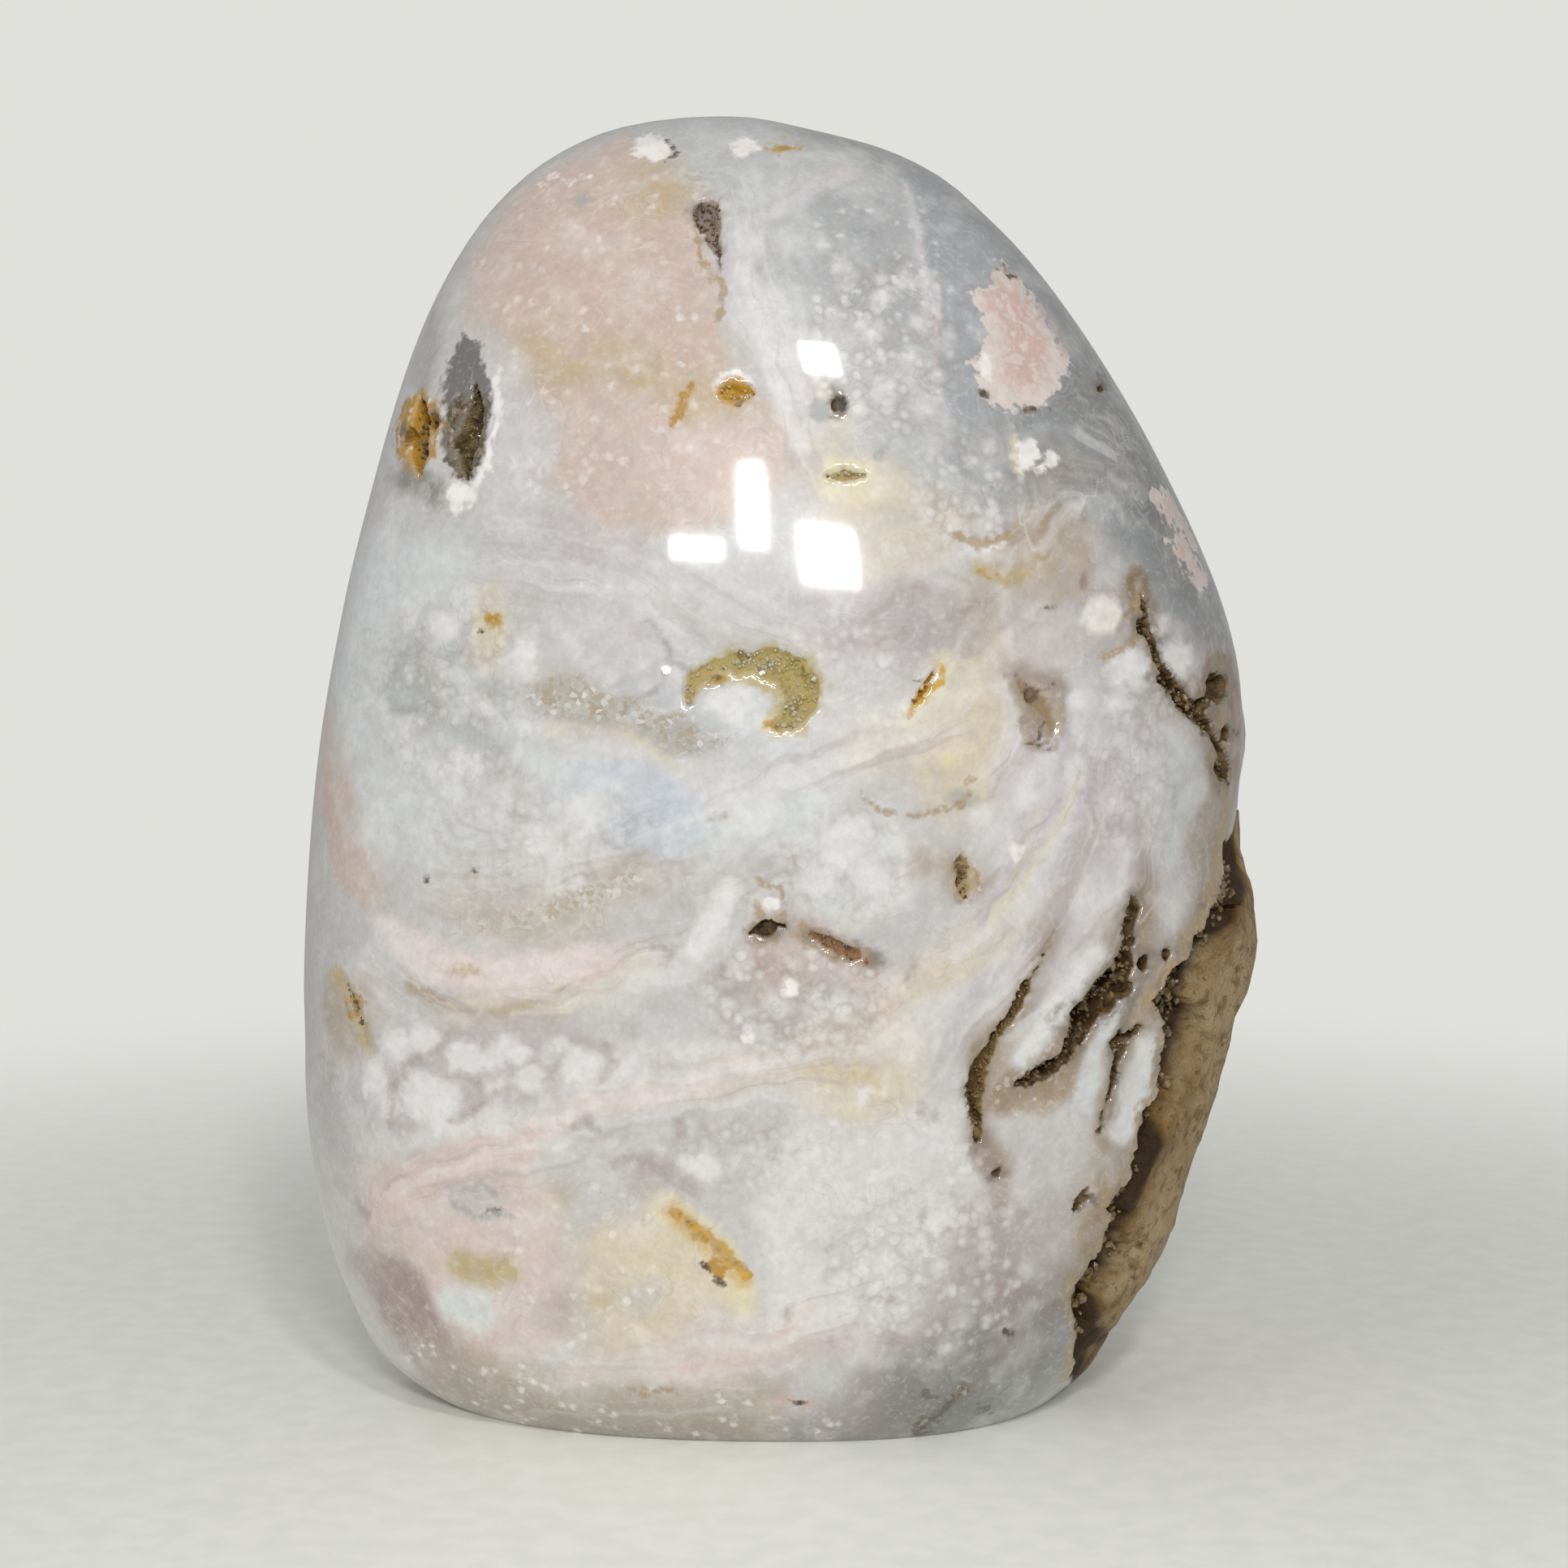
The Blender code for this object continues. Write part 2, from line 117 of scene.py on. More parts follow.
# Hollows on the front. Each has a depth, the shares of its half width over which its left and its
# right wall fall, and a path of x, height and width at the surface.
HOLLOWS = {
    "upper_fissure": (0.0034, 0.8, 0.8, (
        (0.0402, 0.0962, 0.0008), (0.0410, 0.0935, 0.0015), (0.0415, 0.0906, 0.0018),
        (0.0427, 0.0875, 0.0018), (0.0444, 0.0846, 0.0030), (0.0469, 0.0822, 0.0030),
        (0.0492, 0.0795, 0.0026), (0.0508, 0.0770, 0.0028), (0.0516, 0.0742, 0.0026),
        (0.0518, 0.0722, 0.0010))),
    "upper_fissure_branch": (0.0028, 0.8, 0.8, (
        (0.0505, 0.0860, 0.0008), (0.0499, 0.0842, 0.0024), (0.0484, 0.0822, 0.0022),
        (0.0470, 0.0812, 0.0010))),
    "left_crack": (0.0028, 0.5, 0.95, (
        (0.0298, 0.0567, 0.0008), (0.0284, 0.0540, 0.0014), (0.0272, 0.0516, 0.0018),
        (0.0262, 0.0496, 0.0020), (0.0246, 0.0474, 0.0016), (0.0234, 0.0453, 0.0020),
        (0.0222, 0.0430, 0.0026), (0.0217, 0.0408, 0.0030), (0.0219, 0.0388, 0.0024),
        (0.0223, 0.0358, 0.0008))),
    "front_fissure": (0.0050, 0.8, 0.6, (
        (0.0396, 0.0612, 0.0012), (0.0392, 0.0585, 0.0020), (0.0390, 0.0560, 0.0026),
        (0.0386, 0.0537, 0.0034), (0.0372, 0.0518, 0.0038), (0.0354, 0.0502, 0.0044),
        (0.0341, 0.0482, 0.0038), (0.0330, 0.0460, 0.0028), (0.0316, 0.0439, 0.0028),
        (0.0298, 0.0426, 0.0026), (0.0279, 0.0417, 0.0024), (0.0262, 0.0410, 0.0010))),
    "third_crack": (0.0026, 0.8, 0.8, (
        (0.0407, 0.0467, 0.0012), (0.0386, 0.0451, 0.0022), (0.0377, 0.0417, 0.0018),
        (0.0366, 0.0379, 0.0016), (0.0361, 0.0351, 0.0008))),
    "top_pit": (0.0019, 0.3, 0.8, (
        (-0.0078, 0.1376, 0.0040), (-0.0076, 0.1362, 0.0038), (-0.0070, 0.1342, 0.0024),
        (-0.0064, 0.1322, 0.0012), (-0.0062, 0.1306, 0.0006))),
    "left_pit": (0.0034, 0.6, 0.6, (
        (-0.0404, 0.1172, 0.0014), (-0.0405, 0.1149, 0.0036), (-0.0404, 0.1126, 0.0046),
        (-0.0402, 0.1104, 0.0038), (-0.0401, 0.1084, 0.0014))),
    "left_grey_pit": (0.0024, 0.6, 0.6, (
        (-0.0336, 0.1178, 0.0012), (-0.0334, 0.1154, 0.0026), (-0.0341, 0.1128, 0.0038),
        (-0.0344, 0.1105, 0.0032), (-0.0342, 0.1080, 0.0014))),
    "ochre_pit": (0.0014, 0.5, 0.5, (
        (-0.0068, 0.1169, 0.0010), (-0.0056, 0.1170, 0.0026), (-0.0044, 0.1169, 0.0030),
        (-0.0032, 0.1168, 0.0022), (-0.0022, 0.1168, 0.0008))),
    "grey_pit": (0.0012, 0.5, 0.5, (
        (0.0070, 0.1166, 0.0006), (0.0071, 0.1156, 0.0013), (0.0070, 0.1146, 0.0006))),
    "narrow_ochre_pit": (0.0012, 0.5, 0.5, (
        (0.0054, 0.1078, 0.0008), (0.0074, 0.1079, 0.0020), (0.0094, 0.1079, 0.0008))),
    "brown_pit": (0.0005, 0.8, 0.8, (
        (0.0250, 0.0862, 0.0010), (0.0268, 0.0849, 0.0032), (0.0288, 0.0830, 0.0042),
        (0.0301, 0.0806, 0.0030), (0.0303, 0.0784, 0.0010))),
    "tan_pit": (0.0011, 0.8, 0.8, (
        (0.0199, 0.0675, 0.0010), (0.0199, 0.0654, 0.0030), (0.0202, 0.0632, 0.0026),
        (0.0203, 0.0617, 0.0008))),
    "ochre_pocket": (0.0009, 0.35, 0.35, (
        (-0.0096, 0.0836, 0.0012), (-0.0090, 0.0860, 0.0022), (-0.0066, 0.0875, 0.0026),
        (-0.0036, 0.0879, 0.0034), (-0.0004, 0.0876, 0.0042), (0.0020, 0.0864, 0.0050),
        (0.0030, 0.0842, 0.0048), (0.0020, 0.0820, 0.0036), (0.0002, 0.0808, 0.0016))),
    "orange_crack": (0.0012, 0.6, 0.6, (
        (0.0172, 0.0874, 0.0006), (0.0159, 0.0849, 0.0012), (0.0139, 0.0820, 0.0006))),
    "slot": (0.0010, 0.4, 0.6, (
        (0.0036, 0.0584, 0.0008), (0.0058, 0.0574, 0.0019), (0.0082, 0.0560, 0.0019),
        (0.0096, 0.0554, 0.0010))),
    "crescent": (0.0014, 0.5, 0.5, (
        (-0.0030, 0.0584, 0.0006), (-0.0012, 0.0597, 0.0012), (0.0007, 0.0593, 0.0006))),
    "edge_crack": (0.0003, 0.7, 0.7, (
        (-0.0489, 0.0515, 0.0008), (-0.0478, 0.0489, 0.0022), (-0.0467, 0.0462, 0.0016),
        (-0.0462, 0.0441, 0.0007))),
    "ochre_streak": (0.0004, 0.6, 0.6, (
        (-0.0119, 0.0283, 0.0007), (-0.0092, 0.0262, 0.0012), (-0.0072, 0.0240, 0.0014),
        (-0.0054, 0.0224, 0.0012), (-0.0034, 0.0214, 0.0007))),
    "lower_crack": (0.0016, 0.5, 0.5, (
        (0.0348, 0.0285, 0.0007), (0.0339, 0.0270, 0.0016), (0.0330, 0.0254, 0.0007))),
}
# The lobed edges of the hollows, as sizes and reaches.
SCALLOPS = ((0.0028, 0.0011), (0.0010, 0.0006))
SCALLOP_MIDDLE = 0.42
# How the painted shade beside the lip gives way to the rim, and the rim to its paler outer
# part, in pixels.
LIP_SHADE = 0.9
LIP_SHADE_REACH = 42.0
LIP_SHADE_RAGGED = ((0.0045, 18.0),)
OUTER_RIM = (22.0, 64.0)
# How wide the side fissure is, in pixels right of its lip, and how deep, at heights from its foot.
TRENCH = (
    (0.0060, 10, 0.0000), (0.0100, 14, 0.0016), (0.0140, 32, 0.0050), (0.0170, 46, 0.0078),
    (0.0200, 42, 0.0064), (0.0238, 30, 0.0050), (0.0292, 18, 0.0034), (0.0340, 20, 0.0044),
    (0.0385, 26, 0.0058), (0.0420, 42, 0.0086), (0.0463, 50, 0.0098), (0.0500, 44, 0.0076),
    (0.0545, 30, 0.0042), (0.0580, 22, 0.0030), (0.0620, 15, 0.0016), (0.0668, 8, 0.0000),
)
TRENCH_WALL = 5.0
TRENCH_FAR_WALL = (0.3, 1.3)
TRENCH_COUNTS = 0.0008
# Small pits: each a spot with its depth in millimetres.
PITS = (
    (1438, 840, 15, 9, 20, 3.6), (1503, 846, 13, 22, 0, 4.6), (1508, 947, 9, 16, 0, 3.6),
    (1488, 866, 10, 8, 30, 1.8), (1516, 905, 8, 12, 0, 2.0), (1411, 775, 9, 14, 0, 2.0),
    (1462, 862, 12, 6, 20, 1.6), (1352, 1243, 34, 15, -20, 3.4), (1386, 1222, 16, 10, -30, 2.8),
    (1400, 1120, 7, 15, 0, 2.6), (1412, 1188, 9, 12, 0, 2.6), (1396, 1160, 8, 9, 0, 1.6),
    (1440, 1178, 9, 7, 0, 1.6), (1208, 1330, 8, 26, 8, 2.6), (1380, 1283, 6, 16, 20, 1.8),
    (1516, 1116, 22, 5, 0, 2.6), (943, 1147, 17, 8, -15, 1.6), (1036, 1168, 34, 9, 20, 0.9),
    (1270, 856, 10, 13, 20, 1.1), (1184, 1082, 6, 17, 0, 1.6), (532, 518, 9, 10, 0, 1.8),
    (503, 536, 9, 10, 0, 1.8), (572, 544, 17, 13, 0, 2.0), (864, 262, 12, 8, 0, 2.0),
    (1340, 1480, 10, 5, 0, 1.0), (1030, 497, 8, 13, 0, 1.2), (883, 838, 14, 6, 0, 0.8),
    (1230, 1446, 8, 6, 0, 0.8), (1206, 1398, 7, 14, 0, 1.2),
    (614, 1493, 5, 4, 0, 0.6), (437, 1240, 6, 10, 0, 1.0), (1357, 478, 6, 7, 0, 0.8),
)
PIT_RAGGED = (0.0011, 4)
PIT_WALL = 0.6
# How far inside a pit its edge counts as, on the scale that ends at HOLLOW_HALO.
PIT_EDGE = 1.2
# Where the polish follows a lumpy surface: patches in pixels, and the lumps' sizes and heights.
UNEVEN = (
    (1.0, 90, PATCH, ((1240, 760), (1400, 700), (1540, 860), (1540, 1120), (1440, 1240),
                      (1420, 1500), (1300, 1700), (1200, 1560), (1190, 1300), (1260, 1080))),
    (0.6, 60, SPOT, (1010, 1180, 140, 90, 0)), (0.5, 60, SPOT, (860, 860, 140, 70, 0)),
)
UNEVEN_LUMPS = ((0.0046, 0.00042), (0.0020, 0.00016))
FLOOR_GRAIN = ((0.0030, 0.16), (0.0014, 0.08))
HOLLOW_HALO = 1.7
FADE_AT_BASE = 0.003

# The camera stands where the photograph's did.
IMAGE = 1932
FOCAL = 3412.0
CAMERA_PITCH = math.radians(5)
CAMERA_DISTANCE = 0.330
CAMERA_TARGET = Vector((0.0007, 0.0, 0.0719))
CAMERA_PLACE = CAMERA_TARGET + CAMERA_DISTANCE * Vector(
    (0.0, -math.cos(CAMERA_PITCH), math.sin(CAMERA_PITCH)))
SENSOR = 36.0

# Colours, as red, green and blue from 0 to 255. The darkest edge grey is the stone's own grey
# and also painted shade along its edges.
TONES = {
    "base": (196, 194, 192), "lavender": (204, 199, 201), "white": (226, 225, 223),
    "cool_white": (214, 218, 218), "pale_grey": (184, 187, 187), "grey": (158, 161, 162),
    "blue_grey": (158, 161, 165), "edge_grey": (118, 121, 119), "dark_grey": (96, 96, 94),
    "pink_tan": (202, 180, 166), "pink": (214, 192, 184), "grey_green": (172, 176, 171),
    "granular_grey": (172, 171, 160), "pale_pink": (228, 212, 208), "flower_pink": (206, 168, 155),
    "flower_rim": (224, 212, 204), "mauve": (158, 142, 136), "purple": (176, 167, 168),
    "blue": (184, 193, 207), "sand": (192, 185, 172), "cream": (214, 200, 172),
    "yellow": (224, 214, 176), "olive": (186, 166, 118), "ochre": (176, 130, 22),
    "gold": (200, 154, 36), "moss": (178, 160, 98), "amber": (112, 72, 8), "tan": (166, 142, 106),
    "stain": (146, 124, 98), "base_tan": (170, 158, 138), "brown": (106, 82, 50),
    "dark_brown": (42, 26, 8), "olive_dark": (70, 58, 30), "spot_white": (243, 239, 235),
    "pebble": (236, 232, 222), "rim_tan": (122, 90, 44), "rim_grey": (148, 128, 96),
    # The umber is the crust's brown, darkened so that it is also painted shade deep in holes.
    "rim_pale": (178, 158, 126), "bright_gold": (206, 158, 14), "umber": (64, 42, 18),
    "moss_brown": (122, 98, 54), "red_brown": (142, 100, 76),
}

# The pale lobe between two of the front's hollows.
PALE_LOBE = ((1352, 1176), (1320, 1216), (1294, 1258), (1262, 1306))

# Paint on the stone, in the order in which it is laid on. Each row has a tone, a strength, how soft
# its edge is in pixels, and a shape.
PAINT = (
    # The wide fields, roughly from the top down.
    ("pale_grey", 0.75, 60, PATCH, ((640, 130), (1000, 130), (1180, 220), (1330, 400), (1240, 620),
        (1080, 640), (960, 520), (920, 360), (860, 240), (700, 190))),
    ("blue_grey", 0.95, 34, PATCH, ((1115, 175), (1250, 260), (1340, 380), (1430, 520), (1510, 700),
        (1530, 800), (1452, 770), (1400, 690), (1330, 640), (1236, 600), (1176, 520), (1160, 420),
        (1140, 320), (1122, 250))),
    # The grey upper right edge, darkened partly as painted shade.
    ("edge_grey", 0.85, 60, BAND, ((1000, 110), (1190, 200), (1330, 350), (1440, 530), (1520, 700),
        (1560, 860)), 90),
    ("pink_tan", 0.9, 36, PATCH, ((655, 225), (760, 170), (830, 225), (850, 310), (878, 385),
        (900, 450), (975, 510), (990, 570), (930, 625), (860, 660), (740, 650), (680, 590),
        (672, 500), (640, 430), (575, 400), (585, 320))),
    ("olive", 0.55, 40, SPOT, (812, 240, 52, 36, 0)),
    ("olive", 0.5, 46, SPOT, (682, 425, 48, 60, 0)),
    ("olive", 0.55, 46, SPOT, (816, 438, 80, 52, 0)),
    ("pink", 0.6, 46, SPOT, (858, 548, 96, 60, 0)),
    ("lavender", 0.8, 34, SPOT, (632, 560, 42, 80, 0)),
    ("white", 0.55, 26, BAND, ((930, 300), (936, 380), (972, 440), (1000, 520)), 70),
    ("grey", 0.45, 26, SPOT, (954, 331, 26, 26, 0)),
    ("pale_grey", 0.6, 50, PATCH, ((470, 640), (590, 640), (640, 760), (640, 900), (560, 940),
        (450, 900), (420, 780))),
    ("purple", 0.35, 60, SPOT, (1080, 760, 110, 56, 10)),
    ("sand", 0.6, 30, PATCH, ((660, 830), (740, 850), (812, 880), (880, 900), (897, 925),
        (812, 920), (724, 895), (655, 885))),
    ("white", 0.6, 40, PATCH, ((700, 900), (760, 910), (900, 950), (1020, 930), (1080, 900),
        (1080, 960), (960, 1030), (840, 1010), (700, 960))),
    ("blue", 0.85, 40, SPOT, (776, 990, 100, 52, 12)),
    ("blue", 0.35, 40, SPOT, (880, 900, 120, 30, 20)),
    ("sand", 0.75, 28, BAND, ((560, 1098), (648, 1142), (730, 1118), (800, 1078)), 62),
    ("white", 0.6, 40, SPOT, (690, 1040, 90, 26, -14)),
    ("cream", 0.8, 44, SPOT, (1188, 920, 74, 96, 0)),
    ("cream", 0.6, 40, BAND, ((1230, 800), (1140, 880), (1060, 930)), 60),
    ("tan", 0.45, 40, BAND, ((1300, 590), (1240, 700), (1190, 780)), 70),
    ("pink", 0.35, 34, SPOT, (1276, 790, 60, 44, 0)),
    ("white", 0.8, 34, PATCH, ((975, 1050), (1010, 1010), (1090, 1000), (1140, 1050), (1130, 1110),
        (1050, 1140), (985, 1110))),
    ("cream", 0.55, 40, BAND, ((1220, 1150), (1130, 1230), (1000, 1300), (860, 1330)), 60),
    ("cream", 0.85, 36, SPOT, (1056, 1316, 86, 62, -10)),
    ("olive", 0.5, 30, SPOT, (1040, 1316, 36, 26, 0)),
    ("purple", 0.3, 40, SPOT, (980, 1215, 110, 84, 0)),
    ("lavender", 0.8, 40, PATCH, ((1240, 860), (1420, 880), (1430, 1010), (1390, 1120),
        (1290, 1230), (1240, 1330), (1180, 1330), (1200, 1120))),
    ("pale_pink", 0.95, 18, PATCH, ((452, 1120), (480, 1160), (530, 1196), (600, 1222), (690, 1200),
        (734, 1176), (700, 1160), (640, 1176), (585, 1170), (530, 1150))),
    ("white", 0.5, 12, BAND, ((470, 1140), (540, 1190), (600, 1206), (690, 1186)), 16),
    ("tan", 0.75, 12, BAND, ((505, 1212), (548, 1240), (590, 1250), (650, 1236), (730, 1204)), 14),
    ("cream", 0.6, 24, BAND, ((560, 1250), (680, 1236), (790, 1190)), 40),
    ("white", 0.7, 60, PATCH, ((440, 1270), (560, 1250), (700, 1280), (860, 1300), (780, 1340),
        (640, 1380), (540, 1430), (440, 1410))),
    ("pale_pink", 0.95, 18, BAND, ((560, 1440), (620, 1408), (705, 1374), (820, 1350), (927, 1306)),
        30),
    ("pink", 0.9, 24, BAND, ((470, 1486), (552, 1440), (640, 1410)), 46),
    ("pink", 0.8, 34, PATCH, ((430, 1440), (520, 1440), (640, 1420), (700, 1500), (700, 1640),
        (620, 1700), (520, 1660), (450, 1560))),
    ("mauve", 0.55, 34, SPOT, (500, 1600, 34, 70, -30)),
    ("mauve", 0.45, 30, SPOT, (690, 1618, 34, 26, 0)),
    ("pale_grey", 0.6, 30, PATCH, ((553, 1466), (600, 1455), (630, 1480), (616, 1504),
        (570, 1498))),
    ("olive", 0.4, 24, SPOT, (678, 1473, 30, 24, 0)),
    ("olive", 0.95, 18, BAND, ((578, 1556), (602, 1564), (628, 1562)), 30),
    ("white", 0.7, 22, SPOT, (583, 1608, 32, 30, 0)),
    ("purple", 0.5, 20, BAND, ((398, 1330), (410, 1400), (440, 1480)), 26),
    ("cream", 0.9, 44, SPOT, (800, 1580, 92, 74, 20)),
    ("olive", 0.55, 40, SPOT, (760, 1630, 56, 46, 0)),
    ("white", 0.6, 60, PATCH, ((980, 1380), (1200, 1340), (1210, 1500), (1150, 1640), (960, 1640),
        (930, 1500))),
    ("pink", 0.5, 50, SPOT, (900, 1668, 150, 50, 0)),
    ("pink", 0.8, 14, BAND, ((694, 1691), (790, 1700), (880, 1684), (954, 1656), (1000, 1610)), 16),
    ("pale_grey", 0.7, 40, BAND, ((960, 1720), (1120, 1740), (1230, 1690), (1290, 1600)), 100),
    ("blue_grey", 0.4, 60, SPOT, (1210, 1600, 90, 60, 0)),
    ("tan", 0.5, 16, BAND, ((398, 950), (406, 1010)), 14),
    ("cream", 0.55, 30, SPOT, (1100, 650, 90, 60, 0)),
    ("tan", 0.6, 26, SPOT, (436, 1246, 34, 52, 0)),
    # Painted shade along the darker lower edge.
    ("edge_grey", 0.55, 70, BAND, ((1010, 1800), (1140, 1770), (1250, 1715), (1330, 1640)), 110),
    ("mauve", 0.5, 60, BAND, ((1100, 1730), (1200, 1680), (1280, 1600)), 70),
    ("edge_grey", 0.5, 50, BAND, ((560, 1740), (760, 1782), (1000, 1792)), 44),
    # Smaller fields and warm tints.
    ("cool_white", 0.7, 60, PATCH, ((440, 640), (560, 660), (620, 780), (560, 940), (640, 1040),
        (560, 1090), (430, 1040), (400, 900))),
    ("pale_grey", 0.85, 26, BAND, ((500, 780), (500, 840), (540, 900), (600, 920)), 44),
    ("cool_white", 0.8, 40, BAND, ((640, 900), (700, 960), (860, 1030), (1000, 1000)), 60),
    ("yellow", 0.8, 24, BAND, ((812, 1490), (860, 1530), (904, 1586), (914, 1604)), 46),
    ("yellow", 0.7, 26, SPOT, (606, 772, 22, 30, 0)),
    ("yellow", 0.6, 22, SPOT, (1012, 520, 34, 46, 0)),
    ("cream", 0.7, 30, SPOT, (1060, 594, 60, 34, 0)),
    ("olive_dark", 0.6, 18, SPOT, (512, 602, 34, 20, 20)),
    ("olive_dark", 0.35, 20, BAND, ((540, 384), (530, 430), (516, 480)), 16),
    ("olive", 0.6, 26, BAND, ((1210, 700), (1250, 716), (1290, 690)), 24),
    ("pink", 0.6, 24, BAND, ((1000, 1150), (1060, 1190), (1090, 1240)), 50),
    # Flowing bands on the right and at the top.
    ("white", 0.75, 14, BAND, ((1238, 730), (1246, 800), (1244, 890)), 9),
    ("white", 0.6, 16, BAND, ((1330, 900), (1322, 980), (1290, 1080), (1240, 1160)), 14),
    ("white", 0.55, 16, BAND, ((1392, 960), (1386, 1070), (1340, 1160), (1280, 1230)), 16),
    ("purple", 0.6, 14, BAND, ((1362, 930), (1352, 1030), (1310, 1120), (1250, 1200)), 14),
    ("purple", 0.55, 14, BAND, ((1410, 960), (1402, 1060), (1376, 1130)), 12),
    ("cream", 0.5, 20, BAND, ((1250, 1120), (1180, 1200), (1080, 1240)), 26),
    ("white", 0.6, 14, BAND, ((1116, 228), (1128, 276), (1144, 358), (1160, 392), (1150, 424),
        (1160, 480)), 7),
    ("lavender", 0.8, 14, BAND, ((960, 244), (1000, 224), (1044, 212)), 26),
    ("lavender", 0.85, 24, BAND, ((905, 330), (930, 380), (975, 430), (1000, 520)), 40),
    ("grey", 0.55, 18, SPOT, (956, 332, 26, 20, 0)),
    # Mostly dull and brown tones round the hollows on the right, and painted shade with duller
    # tones at the lower edge.
    ("mauve", 0.45, 30, PATCH, ((1330, 730), (1400, 720), (1530, 800), (1530, 1000), (1490, 930),
        (1420, 900), (1360, 830))),
    ("tan", 0.55, 26, PATCH, ((1394, 730), (1430, 800), (1500, 860), (1530, 820), (1530, 1000),
        (1492, 960), (1440, 880), (1400, 820))),
    ("tan", 0.6, 20, PATCH, ((1396, 1070), (1420, 1110), (1424, 1200), (1330, 1270), (1310, 1240),
        (1384, 1190))),
    ("tan", 0.65, 18, PATCH, ((1222, 1306), (1300, 1262), (1344, 1290), (1336, 1350), (1270, 1380),
        (1220, 1372))),
    ("tan", 0.5, 20, BAND, ((1296, 1165), (1270, 1236), (1214, 1300), (1208, 1400), (1230, 1480)),
        22),
    ("tan", 0.45, 18, BAND, ((1393, 1278), (1374, 1336), (1359, 1410), (1330, 1480)), 24),
    # Grey stone with painted shade on the upper right.
    ("edge_grey", 0.5, 50, PATCH, ((1190, 430), (1330, 420), (1440, 560), (1500, 720), (1440, 760),
        (1330, 660), (1230, 600))),
    # Mauve tone with painted shade at the lower right.
    ("mauve", 0.45, 50, PATCH, ((1120, 1600), (1240, 1480), (1340, 1480), (1330, 1640),
        (1240, 1720), (1100, 1780), (1020, 1760))),
    ("mauve", 0.35, 40, BAND, ((1010, 1760), (880, 1776), (700, 1760), (560, 1700)), 50),
    ("mauve", 0.6, 24, BAND, ((450, 1540), (500, 1620), (560, 1680)), 46),
    ("purple", 0.7, 40, SPOT, (1070, 772, 90, 40, 10)),
    ("grey", 0.5, 24, BAND, ((984, 742), (1040, 770), (1120, 762), (1190, 790)), 26),
    ("brown", 0.55, 16, BAND, ((1404, 722), (1416, 770), (1440, 815), (1478, 866), (1506, 850),
        (1510, 960)), 34),
    ("white", 0.7, 12, SPOT, (1451, 809, 22, 20, 0)),
    ("brown", 0.6, 18, BAND, ((1404, 1070), (1400, 1130), (1392, 1176), (1350, 1226), (1322, 1256),
        (1312, 1300), (1270, 1326)), 30),
    ("brown", 0.5, 14, BAND, ((1297, 1160), (1284, 1198), (1260, 1245), (1227, 1284), (1212, 1330),
        (1208, 1400), (1228, 1450)), 18),
    ("brown", 0.45, 14, BAND, ((1414, 1268), (1390, 1288), (1379, 1315), (1367, 1346),
        (1363, 1397)), 16),
    ("olive", 0.6, 16, BAND, ((1420, 1215), (1404, 1250), (1400, 1290)), 22),
    ("tan", 0.7, 16, BAND, ((1500, 1040), (1490, 1110), (1460, 1170), (1428, 1208)), 26),
    ("tan", 0.7, 18, BAND, ((1376, 1460), (1352, 1500), (1340, 1560), (1316, 1596)), 34),
    ("brown", 0.4, 16, BAND, ((1362, 1478), (1350, 1530), (1328, 1580)), 16),
    ("white", 0.8, 12, BAND, ((1410, 1300), (1400, 1350), (1386, 1400)), 18),
    ("cool_white", 0.7, 12, BAND, ((1372, 1268), (1350, 1310), (1336, 1350)), 18),
    ("purple", 0.6, 18, BAND, ((1340, 1020), (1350, 1080), (1320, 1140), (1290, 1180)), 34),
    ("cream", 0.6, 16, BAND, ((1310, 1095), (1270, 1140), (1226, 1180), (1160, 1216)), 14),
    ("cream", 0.5, 14, BAND, ((1280, 1000), (1258, 1060), (1240, 1110)), 12),
    ("tan", 0.5, 26, BAND, ((1114, 1050), (1170, 1060), (1222, 1090)), 30),
    ("white", 0.9, 26, PATCH, ((985, 1060), (1020, 1020), (1090, 1010), (1130, 1050), (1120, 1100),
        (1050, 1126), (990, 1105))),
    ("brown", 0.35, 20, PATCH, ((1248, 828), (1312, 828), (1304, 880), (1296, 924), (1266, 920),
        (1256, 870))),
    # The middle and the left.
    ("grey_green", 0.75, 40, PATCH, ((480, 770), (560, 750), (600, 800), (640, 860), (590, 900),
        (500, 900), (470, 850))),
    ("grey", 0.7, 16, BAND, ((526, 790), (496, 800), (480, 840), (488, 872), (512, 880)), 16),
    ("white", 0.9, 14, SPOT, (550, 771, 16, 16, 0)),
    ("white", 0.6, 16, SPOT, (501, 759, 17, 18, 0)),
    ("white", 0.85, 14, SPOT, (646, 812, 14, 24, 10)),
    ("white", 0.7, 14, BAND, ((575, 858), (606, 880)), 18),
    ("white", 0.7, 16, SPOT, (571, 943, 22, 20, 0)),
    ("white", 0.6, 16, SPOT, (498, 896, 18, 18, 0)),
    ("cream", 0.7, 22, PATCH, ((584, 722), (626, 720), (636, 770), (620, 826), (590, 800))),
    ("purple", 0.55, 26, PATCH, ((666, 638), (730, 640), (790, 660), (786, 704), (700, 700))),
    ("lavender", 0.8, 12, PATCH, ((683, 771), (709, 806), (756, 846), (786, 831), (822, 806),
        (811, 771), (794, 763), (740, 742))),
    ("grey", 0.6, 10, BAND, ((794, 763), (811, 771), (822, 800), (846, 811), (866, 812)), 7),
    ("grey", 0.5, 10, BAND, ((756, 848), (786, 834), (820, 812)), 5),
    ("white", 0.7, 8, BAND, ((683, 724), (773, 724), (811, 729), (850, 726)), 5),
    ("white", 0.6, 10, BAND, ((683, 771), (709, 806), (756, 843)), 6),
